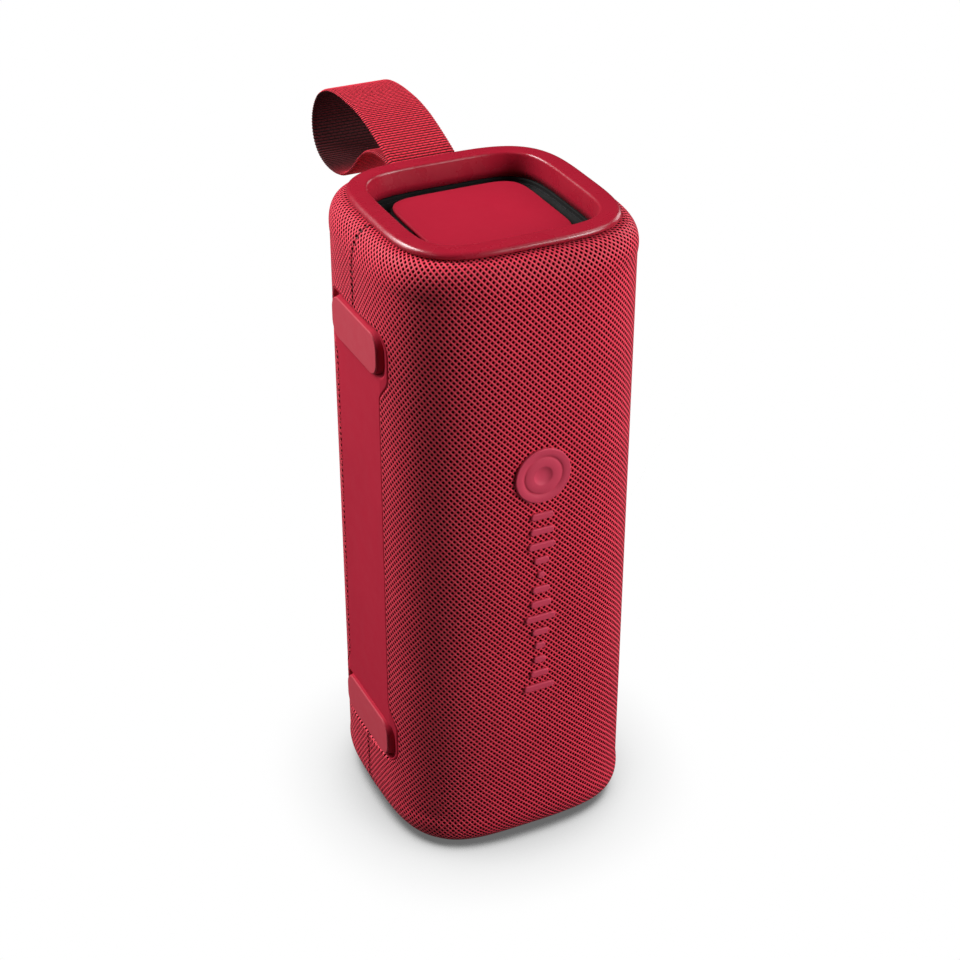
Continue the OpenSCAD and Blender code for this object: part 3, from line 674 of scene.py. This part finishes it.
def make_sleeve():
    rows, first_straight = sleeve_rows()
    s = sleeve_columns()
    grid = np.array([barrel_ring(h, n, z, s / LENGTH_ROUND) for h, n, z in rows])
    step = np.linalg.norm(np.diff(np.array([(h, z) for h, _, z in rows]), axis=0), axis=1)
    t = np.concatenate([[0], np.cumsum(step)])
    t += STRAIGHT_D - t[first_straight]
    outward = np.cross(np.gradient(grid, axis=1), np.gradient(grid, axis=0))
    outward /= np.linalg.norm(outward, axis=-1, keepdims=True)
    depth = window_depth(grid[..., 0], grid[..., 1], grid[..., 2])
    # seam: two turned edges that meet in a crease
    off = np.minimum(s, LENGTH_ROUND - s)[None, :]
    depth += 0.45 * np.exp(-(off / 0.45) ** 2) - 0.14 * np.exp(-((off - 1.5) / 0.7) ** 2)
    grid -= outward * depth[..., None]
    uv = np.stack(np.broadcast_arrays(s[None, :] * MM, t[:, None] * MM), -1)
    return skin("knitted_sleeve", grid, paints["knit_red"], wrap=False, uv=uv, weighted=False)


def open_window(obj, lo, hi, rim):
    """Opens a sheet on +Y inside a box, leaving a hem as wide as the rim."""
    mesh = bmesh.new()
    mesh.from_mesh(obj.data)
    inside = []
    for face in mesh.faces:
        x, y, z = face.calc_center_median() / MM
        if y > FACE and lo[0] + rim < x < hi[0] - rim and lo[2] + rim < z < hi[2] - rim:
            inside.append(face)
    bmesh.ops.delete(mesh, geom=inside, context="FACES")
    mesh.to_mesh(obj.data)
    mesh.free()


sleeve = make_sleeve()
open_window(sleeve, PORT_LO, PORT_HI, 1.0)
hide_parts("fabric_sleeve")


# ---- end rings, radiators and their surrounds -------------------------------

RING_HALF = node_box("upper_end_ring")[1][0]
OPENING_HALF = 32.45            # half the recess at its mouth
LIP_R, RIM_R = 0.9, 1.7         # rounds of the flange at the recess and outside
CROWN = 0.05                    # how far the flange's flat rises in the middle
SKIRT_D = HEIGHT - node_box("upper_end_ring")[0][2]
PLATE_HALF = node_box("upper_radiator_plate")[1][0]
PLATE_D = HEIGHT - node_box("upper_radiator_plate")[1][2]
PLATE_T = 1.6                   # thickness of the plate
PLATE_SQUARE = 6
ROLL_SQUARE = 5.4               # squareness of the surround next to the plate
SURROUND_WEDGES = 8


def end_stack(name, profile, paint, upper, body="root", count=288, **more):
    """A ring or cap of the lower end from (half, squareness, depth), or its mirror."""
    at = around(count)
    rings = [barrel_ring(h, n, HEIGHT - d if upper else d, at) for h, n, d in profile]
    return skin(name, rings, paint, body=body, flip=not upper, **more)


def blend_square(half, low, high, a, b):
    """Squareness at a half width, between a at low and b at high."""
    return a + (b - a) * (half - low) / (high - low)


def ring_profile():
    """From the skirt's inner end, up the wall, over the flange and back under it."""
    inner, outer = OPENING_HALF, RING_HALF
    out = [(34.6, 4.2, SKIRT_D), (inner - 0.6, OPENING_SQUARE, SKIRT_D),
           (inner - 0.35, OPENING_SQUARE, SKIRT_D - 2.5), (inner, OPENING_SQUARE, 1.2)]
    for a in np.linspace(0, math.pi / 2, 9)[1:]:
        out.append((inner + LIP_R * (1 - math.cos(a)), OPENING_SQUARE,
                    CROWN + LIP_R * (1 - math.sin(a))))
    edge = outer - RIM_R
    for half in np.linspace(inner + 1.4, edge - 0.2, 8):
        fall = CROWN * (1 - math.sin(math.pi * (half - inner) / (edge - inner)))
        out.append((half, blend_square(half, inner, edge, OPENING_SQUARE, RING_SQUARE), fall))
    for a in np.linspace(0, math.pi / 2, 13):
        out.append((edge + RIM_R * math.sin(a), RING_SQUARE, CROWN + 1.55 * (1 - math.cos(a))))
    out += [(outer, RING_SQUARE, 2.05), (outer - 0.35, RING_SQUARE, 2.45),
            (outer - 1.5, RING_SQUARE, 2.5), (34.9, RING_SQUARE, 2.5)]
    return out


def surround_profile():
    """Rubber roll from under the plate's edge out to the skirt, hanging inwards."""
    inner, outer = PLATE_HALF + 0.9, OPENING_HALF - 0.9
    out = [(21.5, PLATE_SQUARE, PLATE_D + PLATE_T + 0.05), (inner - 0.4, 5.6, PLATE_D + PLATE_T + 0.05)]
    for a in np.linspace(0, math.pi, 15):
        half = inner + (outer - inner) * (1 - math.cos(a)) / 2
        square = blend_square(half, inner, outer, ROLL_SQUARE, OPENING_SQUARE)
        out.append((half, square, SKIRT_D + 0.1 + 3.2 * math.sin(a)))
    return out + [(34.4, 4.4, SKIRT_D + 0.1)]


def surround_wedge(name, upper, first, last):
    """One part of the surround, between the ring and the plate."""
    at = np.linspace(first, last, 37)
    rings = [barrel_ring(h, n, HEIGHT - d if upper else d, at)
             for h, n, d in surround_profile()]
    wedge = skin(name, rings, paints["black_rubber"], body=None, wrap=False, flip=upper)
    a = squircle(OPENING_HALF - 1.2, OPENING_SQUARE, [(first + last) / 2])[0]
    b = squircle(PLATE_HALF + 0.9, ROLL_SQUARE, [(first + last) / 2])[0]
    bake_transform(wedge)
    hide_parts(("upper" if upper else "lower") + "_radiator_surround")


def plate_profile():
    """From under the plate, up its rounded edge and in over its face."""
    half, square, round_r = PLATE_HALF, PLATE_SQUARE, 0.7
    out = [(half - 2.4, square, PLATE_D + PLATE_T), (half - 0.1, square, PLATE_D + PLATE_T),
           (half, square, PLATE_D + 0.8)]
    for a in np.linspace(0, math.pi / 2, 8):
        out.append((half - round_r * (1 - math.cos(a)), square,
                    PLATE_D + round_r * (1 - math.sin(a))))
    return out + [(face, square, PLATE_D - 0.02) for face in (23, 20, 14, 7)]


for upper, side in ((True, "upper"), (False, "lower")):
    ring = end_stack(side + "_ring_moulding", ring_profile(), paints["soft_red"], upper)
    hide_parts(side + "_end_ring")
    plate = end_stack(side + "_plate_moulding", plate_profile(), paints["radiator_red"], upper,
                      body=side + "_radiator", low=True, high=True)
    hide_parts(side + "_radiator_plate")
    for k in range(SURROUND_WEDGES):
        # the first one starts before the outline's own start; past its end the outline
        # holds its last point, so that one's second half has no width
        first = (k - 0.5) / SURROUND_WEDGES % 1
        surround_wedge(f"{side}_surround_{k + 1}", upper,
                       first, first + 1 / SURROUND_WEDGES)


# ---- soft parts of the two drivers ------------------------------------------

def driver_wedges(side, part, section, count, paint):
    """A driver's ring of (radius, height) in wedges."""
    lo, hi = node_box(side + "_driver_basket")
    front, z0 = lo[1], (lo[2] + hi[2]) / 2
    for k in range(count):
        a = np.linspace(k, k + 1, 9) * TAU / count
        rings = [np.column_stack([r * np.cos(a), np.full(9, front - h), z0 + r * np.sin(a)])
                 for r, h in section + section[:1]]
        wedge = skin(f"{side}_driver_{part}_{k + 1}", rings, paints[paint], body=None,
                     wrap=False)
        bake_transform(wedge)
        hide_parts(f"{side}_driver_{part}")


ROLL_MID, ROLL_OUT, ROLL_IN = 24, 2, 1.5    # surround's half roll: middle and two radii
half_turn = [math.radians(a) for a in range(0, 181, 15)]
surround = [(22.3, -1.55)] \
    + [(ROLL_MID - ROLL_IN * math.cos(a), ROLL_IN * math.sin(a)) for a in half_turn] \
    + [(26.3, 0.05), (26.3, 0.5)] \
    + [(ROLL_MID + ROLL_OUT * math.cos(a), ROLL_OUT * math.sin(a)) for a in half_turn[2:]] \
    + [(21.9, -1.2)]
# spider: four folds between the voice coil and the basket, 0.3 thick
folds = [(6.7 + 10.1 * i / 40, 0.36 * math.cos(TAU * i / 10) - 12.7) for i in range(41)]
spider = folds + [(r, h - 0.3) for r, h in folds[::-1]]
for side in ("upper", "lower"):
    driver_wedges(side, "surround", surround, 12, "black_rubber")
    driver_wedges(side, "spider", spider, 6, "spider_cloth")


# ---- badge ------------------------------------------------------------------

DISC_LO, DISC_HI = node_box("badge_disc")
BADGE_Y = -DISC_LO[1]
DISC_R = (DISC_HI[0] - DISC_LO[0]) / 2
DISC_Z = (DISC_LO[2] + DISC_HI[2]) / 2


def make_disc():
    """A dished disc with a ring and a dot sunk into it, as on a drawn speaker cone."""
    face, base = BADGE_Y, -DISC_HI[1] - 0.5
    levels = [(0, base), (0, face - 0.5)] + fillet(0, face, 0.5)
    groove = 0.45
    steps = [(1.2, 0), (2.5, 0), (2.75, groove), (3.6, groove), (3.85, 0), (6.6, 0.05),
             (6.9, groove), (DISC_R - 0.6, groove + 0.05)]
    levels += [(inset, face - depth) for inset, depth in steps]
    return stack("badge_disc_moulding", on_front, lambda i: disc(DISC_R, i), levels,
                 paints["badge_red"], centre=(0, DISC_Z), low=True)


badge = make_disc()
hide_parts("badge_disc")

BARS_TOP = node_box("badge_bars")[1][2]
BAR_COUNT, BAR_PITCH, BAR_TALL = 13, 5.9, 2.6


def bar_width(i):
    """Widths that go up and down along the row, as on a sound level display."""
    return 7 + 3.4 * math.sin(math.radians(i * 67)) + 1.4 * math.cos(math.radians(i * 151))


bars = []
for i in range(BAR_COUNT):
    z = BARS_TOP - BAR_TALL / 2 - i * BAR_PITCH
    outline = lambda inset, width=bar_width(i): rounded(width, BAR_TALL, 1.28, inset)
    levels = [(0, BADGE_Y - 1.4), (0, BADGE_Y - 0.5)] + fillet(0, BADGE_Y, 0.5, 4)
    bars.append(stack(f"bar_{i}", on_front, outline, levels, paints["badge_red"],
                      centre=(0, z), low=True, body=None))
bars = join("badge_bar_mouldings", bars)
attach(bars, "root")
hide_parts("badge_bars")


# ---- key panel --------------------------------------------------------------

PANEL_X = PANEL_HI[0]
KEY_R = 6.4
KEYS = ("power_key", "pairing_key", "volume_down_key", "play_key", "volume_up_key")


def bar_glyph(side, centre, width, height, top, paint, turn=0.0):
    """A raised bar with round ends, turned about its middle."""
    c, s = math.cos(turn), math.sin(turn)

    def outline(inset):
        p = rounded(width, height, min(width, height) / 2 - 0.01, inset, 6)
        return p @ np.array([[c, s], [-s, c]])
    return stack("glyph", side, outline, [(0, top - 0.5), (0, top - 0.12), (0.12, top)], paint,
                 centre=centre, body=None, low=True)


def arc_glyph(side, centre, radius, width, top, paint, start=0.0, sweep=360.0):
    """A raised band along an arc, closed when it runs all the way round."""
    a = np.radians(np.linspace(start, start + sweep, 49))
    whole = sweep >= 360
    profile = [(-width / 2, -0.5), (-width / 2, -0.12), (-width / 2 + 0.12, 0),
               (width / 2 - 0.12, 0), (width / 2, -0.12), (width / 2, -0.5)]
    rings = np.array([side(centre[0] + (radius + w) * np.cos(a),
                           centre[1] + (radius + w) * np.sin(a), top + h) for w, h in profile])
    if whole:
        rings = rings[:, :-1]
    return skin("glyph", rings, paint, body=None, wrap=whole, flip=True)


def play_outline(inset):
    """A triangle with round corners that points along +Y."""
    points = []
    for corner in np.radians(np.arange(3) * 120):
        p = np.array([np.cos(corner), np.sin(corner)]) * (2.9 - 2 * inset)
        for b in np.radians(np.linspace(-60, 60, 6)) + corner:
            points.append(p * 0.8 + 0.45 * np.array([math.cos(b), math.sin(b)]))
    return np.array(points)


def key_glyphs(name, z, top):
    """The raised sign on a key's cap."""
    paint = paints["soft_red"]
    c = (0, z)
    if name == "volume_up_key":
        return [bar_glyph(on_right, c, 5, 0.9, top, paint),
                bar_glyph(on_right, c, 5, 0.9, top, paint, math.pi / 2)]
    if name == "volume_down_key":
        return [bar_glyph(on_right, c, 5, 0.9, top, paint)]
    if name == "power_key":
        return [arc_glyph(on_right, c, 2.3, 0.8, top, paint, 125, 290),
                bar_glyph(on_right, (0, z + 1.9), 2.6, 0.8, top, paint, math.pi / 2)]
    if name == "pairing_key":
        return [arc_glyph(on_right, (-1.25, z), 1.7, 0.75, top, paint),
                arc_glyph(on_right, (1.25, z), 1.7, 0.75, top, paint)]
    return [stack("glyph", on_right, play_outline,
                  [(0, top - 0.5), (0, top - 0.12), (0.12, top)],
                  paint, centre=(0.2, z), body=None, low=True)]


def panel_outline(inset):
    _, wide, tall = PANEL_HI - PANEL_LO
    return rounded(wide, tall, PANEL_R, inset, 16)


panel_levels = [(0, PANEL_X - 2.2), (0, PANEL_X - 0.6)] + fillet(0, PANEL_X, 0.6) \
    + [(1.4, PANEL_X), (1.8, PANEL_X - 0.25), (4, PANEL_X - 0.3)]
panel = stack("key_panel_moulding", on_right, panel_outline, panel_levels, paints["soft_red"],
              centre=(0, MID_Z), low=True)
key_places = {name: (node_box(name)[0][2] + node_box(name)[1][2]) / 2 for name in KEYS}
cut(panel, [stack("hole", on_right, lambda i: disc(KEY_R + 0.35, i),
                  [(-1.15, 30), (-1.15, PANEL_X - 1.3), (0, PANEL_X - 1.3), (0, PANEL_X - 0.5),
                   (-0.3, PANEL_X - 0.2), (-0.3, PANEL_X + 3)],
                  paints["soft_red"], centre=(0, z), low=True, body=None)
            for z in key_places.values()])
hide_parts("key_panel")

for name, z in key_places.items():
    lo, hi = node_box(name)
    top = hi[0]
    levels = [(-1.1, lo[0]), (-1.1, PANEL_X - 1.7), (0, PANEL_X - 1.7)] + fillet(0, top, 0.7) \
        + [(2.0, top - 0.12), (4.0, top - 0.22), (5.6, top - 0.25)]
    cap = stack(name + "_cap", on_right, lambda i: disc(KEY_R, i), levels, paints["key_red"],
                centre=(0, z), body=None, low=True)
    cap = join(name + "_cap", [cap] + key_glyphs(name, z, top + 0.02))
    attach(cap, name)
    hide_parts(name)


# ---- port -------------------------------------------------------------------

COVER_LO, COVER_HI = node_box("port_cover")
PORT_Y = PORT_HI[1]
PORT_Z = (PORT_LO[2] + PORT_HI[2]) / 2
HINGE_Y, HINGE_Z = joint_place("port_cover_hinge")
HINGE_HALF, HINGE_R = 6.5, 0.68
OPENING_W, OPENING_H, OPENING_R = 27, 11.9, 3
COVER_TALL, COVER_R = 11.1, 2.8
COVER_Z = COVER_HI[2] - COVER_TALL / 2


def port_ring():
    """Raised frame round the cover's opening, notched for the cover's hinge."""
    wide, tall = PORT_HI[0] - PORT_LO[0], PORT_HI[2] - PORT_LO[2]

    def outer(inset, h):
        return on_back(*(rounded(wide, tall, PORT_R, inset) + (0, PORT_Z)).T, h)

    def inner(inset, h):
        opening = rounded(OPENING_W, OPENING_H, OPENING_R, inset)
        return on_back(*(opening + (0, COVER_Z)).T, h)

    base = PORT_LO[1] + 0.6
    rings = [outer(0, base)] + [outer(*level) for level in fillet(0, PORT_Y, 0.5)]
    rings += [inner(-0.5, PORT_Y), inner(-0.15, PORT_Y - 0.15), inner(0, PORT_Y - 0.5),
              inner(0, base), outer(0, base)]
    ring = skin("port_frame_moulding", rings, paints["soft_red"])
    notch = stack("notch", on_back, lambda i: rounded(15, 3.2, 0.4, i, 2),
                  [(0, PORT_Y - 2), (0, PORT_Y + 2)], paints["soft_red"],
                  centre=(0, HINGE_Z - 0.4), low=True, body=None)
    weld(ring)
    cut(ring, [notch])
    return ring


port = port_ring()
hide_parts("port_frame")

cover_top = PORT_Y - 0.4
cover_w = COVER_HI[0] - COVER_LO[0]
levels = [(0.1, cover_top - 1.2), (0, cover_top - 1.0), (0, cover_top - 0.4)] \
    + fillet(0, cover_top, 0.4) + [(1.4, cover_top - 0.05), (3.5, cover_top - 0.08)]
cover = stack("port_cover_flap", on_back, lambda i: rounded(cover_w, COVER_TALL, COVER_R, i),
              levels, paints["key_red"], centre=(0, COVER_Z), low=True, body=None)
pull = bar_glyph(on_back, (0, COVER_Z + 3.8), 9, 0.9, cover_top + 0.25, paints["key_red"])
turn = np.linspace(0, TAU, 25)[:-1]
hinge_roll = [np.column_stack([np.full(24, x), HINGE_Y + HINGE_R * np.cos(turn),
                               HINGE_Z + HINGE_R * np.sin(turn)])
              for x in (-HINGE_HALF, HINGE_HALF)]
hinge_roll = skin("roll", hinge_roll, paints["key_red"], body=None, low=True, high=True)
neck_x, neck_y = HINGE_HALF - 0.1, 0.4
neck = [[(x * neck_x, HINGE_Y + y * neck_y, z) for x, y in ((-1, -1), (1, -1), (1, 1), (-1, 1))]
        for z in (HINGE_Z, HINGE_Z + 2.2)]
neck = skin("neck", neck, paints["key_red"], body=None, weighted=False)
cover = join("port_cover_flap", [cover, pull, hinge_roll, neck])
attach(cover, "cover")
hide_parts("port_cover")


# ---- strap ------------------------------------------------------------------

STRAP_HALF = node_box("strap_loop")[1][0]
STRAP_T = 1.4
RIB_DEPTH = 0.24
SELVAGE = 0.7                   # width of the rounded edge
ACROSS = 23                     # points across each face
# Middle of the webbing in the YZ plane: from the pin out along the top, round
# the end and back along the bottom to the pin
STRAP_PATH = [(41.5, 229.3), (44.2, 230.6), (47.9, 232.5), (51.5, 234), (57, 236), (63, 238),
              (70, 239.9), (78, 241.2), (86, 241.6), (94, 241.5), (102, 240.6), (109, 238.4),
              (115, 235), (119.4, 230.2), (122, 224.6), (122.3, 219), (120.4, 214.4),
              (116.4, 211.2), (110, 209.5), (103, 209.5), (96, 210.8), (89, 214),
              (83, 218.4), (77, 224), (71, 228.2), (64, 230.9), (57, 231.8), (51.5, 231.6),
              (48.3, 230.95), (44.6, 229.3), (42.3, 227.9)]


def smooth_path(points, step):
    """Catmull-Rom curve through the points, resampled to an even step."""
    p = np.array(points, float)
    p = np.vstack([2 * p[0] - p[1], p, 2 * p[-1] - p[-2]])
    t = np.linspace(0, 1, 24, endpoint=False)[:, None]
    out = []
    for a, b, c, d in zip(p, p[1:], p[2:], p[3:]):
        out.append(0.5 * (2 * b + t * (c - a) + t ** 2 * (2 * a - 5 * b + 4 * c - d)
                          + t ** 3 * (3 * b - a - 3 * c + d)))
    out = np.vstack(out + [p[-2][None]])
    run = np.concatenate([[0], np.cumsum(np.linalg.norm(np.diff(out, axis=0), axis=1))])
    at = np.arange(0, run[-1], step)
    return np.stack([np.interp(at, run, out[:, k]) for k in (0, 1)], -1), at


def make_strap():
    """Webbing swept along its path: ribs across it and a rounded selvage."""
    path, run = smooth_path(STRAP_PATH, RIB_PITCH / 8)
    along = np.gradient(path, axis=0)
    along /= np.linalg.norm(along, axis=1, keepdims=True)
    out = np.stack([-along[:, 1], along[:, 0]], -1)
    rib = 0.5 - 0.5 * np.cos(TAU * run / RIB_PITCH)
    across = np.concatenate([np.linspace(-1, 1, ACROSS), np.linspace(1, -1, ACROSS)])
    face = np.repeat([1, -1], ACROSS)
    edge = np.clip(1 - (1 - np.abs(across)) * STRAP_HALF / SELVAGE, 0, 1)
    thick = np.sqrt(np.maximum(1 - edge ** 2, 0.02))
    half = STRAP_T / 2 - RIB_DEPTH + RIB_DEPTH * np.sqrt(rib)
    wide = STRAP_HALF - 0.2 + 0.2 * rib
    x = across[None, :] * wide[:, None]
    lift = face[None, :] * thick[None, :] * half[:, None]
    y = path[:, :1] + out[:, :1] * lift
    z = path[:, 1:] + out[:, 1:] * lift
    rings = np.stack([x, y, z], -1)
    u = np.concatenate([across, across[:1]]) * STRAP_HALF + STRAP_HALF
    uv = np.stack(np.broadcast_arrays(u[None, :] * MM, run[:, None] * MM), -1)
    strap = skin("carry_strap", rings, paints["webbing_red"], body=None, low=True, high=True,
                 uv=uv, weighted=False)
    # the inner face is marked for painted shade along the top and round the end, less along the bottom
    part = run / run[-1]
    shade_tone = ease(part, 0.08, 0.2) * (0.93 - 0.7 * ease(part, 0.60, 0.74))
    inside = strap.data.attributes.new("inside", "FLOAT", "POINT")
    inside.data.foreach_set("value", (shade_tone[:, None] * (face < 0)[None, :]).ravel())
    return strap


strap = make_strap()
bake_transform(strap)
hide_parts("strap_loop", "strap_tail")


# ---- stage, lights and camera -----------------------------------------------

def floor_with_painted_shadow():
    """White floor that glows for the camera, with a painted contact shadow from ambient occlusion where
    the speaker stands close over it.
    """
    mat = bpy.data.materials.new("floor")
    mat.use_nodes = True
    tree = mat.node_tree
    tree.nodes.clear()
    add, link = tree.nodes.new, tree.links.new
    out, pick = add("ShaderNodeOutputMaterial"), add("ShaderNodeMixShader")
    ray, glow = add("ShaderNodeLightPath"), add("ShaderNodeEmission")
    shade, ramp = add("ShaderNodeAmbientOcclusion"), add("ShaderNodeValToRGB")
    dim = add("ShaderNodeBsdfDiffuse")
    dim.inputs["Color"].default_value = (FLOOR_BOUNCE, FLOOR_BOUNCE, FLOOR_BOUNCE, 1)
    shade.inputs["Distance"].default_value = FLOOR_SHADOW_REACH
    shade.samples = 24
    stops = ramp.color_ramp.elements
    while len(stops) < len(FLOOR_SHADOW_TONES):
        stops.new(0.5)
    for stop, (at, shade_tone) in zip(stops, FLOOR_SHADOW_TONES):
        stop.position, stop.color = at, (shade_tone, shade_tone, shade_tone, 1)
    link(shade.outputs["AO"], ramp.inputs[0])
    link(ramp.outputs[0], glow.inputs["Color"])
    link(ray.outputs["Is Camera Ray"], pick.inputs[0])
    link(dim.outputs[0], pick.inputs[1])
    link(glow.outputs[0], pick.inputs[2])
    link(pick.outputs[0], out.inputs[0])
    return mat


FLOOR_SHADOW_REACH = 0.042             # how far over the floor the painted shadow reaches, in metres
FLOOR_BOUNCE = 0.16             # grey that the floor has for reflected light
# (how open the floor is, tone of the floor with its painted shadow)
FLOOR_SHADOW_TONES = [(0.0, 0.12), (0.34, 0.14), (0.48, 0.62), (0.72, 0.88), (0.95, 1.0)]
reach = 6.0
floor_mesh = bpy.data.meshes.new("floor")
floor_mesh.from_pydata([(-reach, -reach, 0), (reach, -reach, 0), (reach, reach, 0),
                        (-reach, reach, 0)], [], [(0, 1, 2, 3)])
floor_mesh.materials.append(floor_with_painted_shadow())
floor = bpy.data.objects.new("floor", floor_mesh)
bpy.context.scene.collection.objects.link(floor)

AMBIENT = 0.01                  # strength of the white surroundings, except to the camera
world = bpy.data.worlds.new("studio")
bpy.context.scene.world = world
world.use_nodes = True
tree = world.node_tree
sky = tree.nodes["Background"]
sky.inputs["Color"].default_value = (1, 1, 1, 1)
ray = tree.nodes.new("ShaderNodeLightPath")
level = tree.nodes.new("ShaderNodeMapRange")
level.inputs[3].default_value = AMBIENT
level.inputs[4].default_value = 1.0
tree.links.new(ray.outputs["Is Camera Ray"], level.inputs[0])
tree.links.new(level.outputs[0], sky.inputs["Strength"])


LIGHT_AIM = Vector((0, 0, 0.19))    # the upper part of the speaker, in metres
LIGHT_AWAY = 0.9                    # from there to each softbox, in metres


def toward(azimuth, elevation):
    """Unit vector from degrees round from +X and up from the floor."""
    azimuth, elevation = math.radians(azimuth), math.radians(elevation)
    return Vector((math.cos(azimuth) * math.cos(elevation),
                   math.sin(azimuth) * math.cos(elevation), math.sin(elevation)))


def softbox(name, azimuth, elevation, power, size=0.42):
    """A square softbox turned to face the upper part of the speaker."""
    light = bpy.data.lights.new(name, "AREA")
    light.size, light.energy = size, power
    obj = bpy.data.objects.new(name, light)
    bpy.context.scene.collection.objects.link(obj)
    away = toward(azimuth, elevation)
    obj.location = LIGHT_AIM + LIGHT_AWAY * away
    obj.rotation_mode = "QUATERNION"
    obj.rotation_quaternion = (-away).to_track_quat("-Z", "Y")


softbox("key_softbox", 138, 43, 11.0)
softbox("left_softbox", 142, 16, 3.2)
softbox("front_softbox", -50, 18, 7.0)
softbox("right_softbox", -24, 45, 2.2)
softbox("edge_softbox", 18, 15, 2.3)
softbox("glint_softbox", 204, 39, 0.2, 0.09)

camera_data = bpy.data.cameras.new("camera")
camera_data.sensor_width = 36
camera_data.lens = 74.7
camera = bpy.data.objects.new("camera", camera_data)
bpy.context.scene.collection.objects.link(camera)
CAMERA_PLACE = (-0.25938, -0.54475, 0.49458)
CAMERA_TURN, CAMERA_TILT = math.radians(-25.4), math.radians(31.24)
back = Vector((math.sin(CAMERA_TURN) * math.cos(CAMERA_TILT),
               -math.cos(CAMERA_TURN) * math.cos(CAMERA_TILT), math.sin(CAMERA_TILT)))
right = Vector((math.cos(CAMERA_TURN), math.sin(CAMERA_TURN), 0))
view = Matrix((right, back.cross(right), back)).transposed()
camera.matrix_world = Matrix.Translation(CAMERA_PLACE) @ view.to_4x4()
bpy.context.scene.camera = camera
bpy.context.scene.view_settings.view_transform = "Standard"
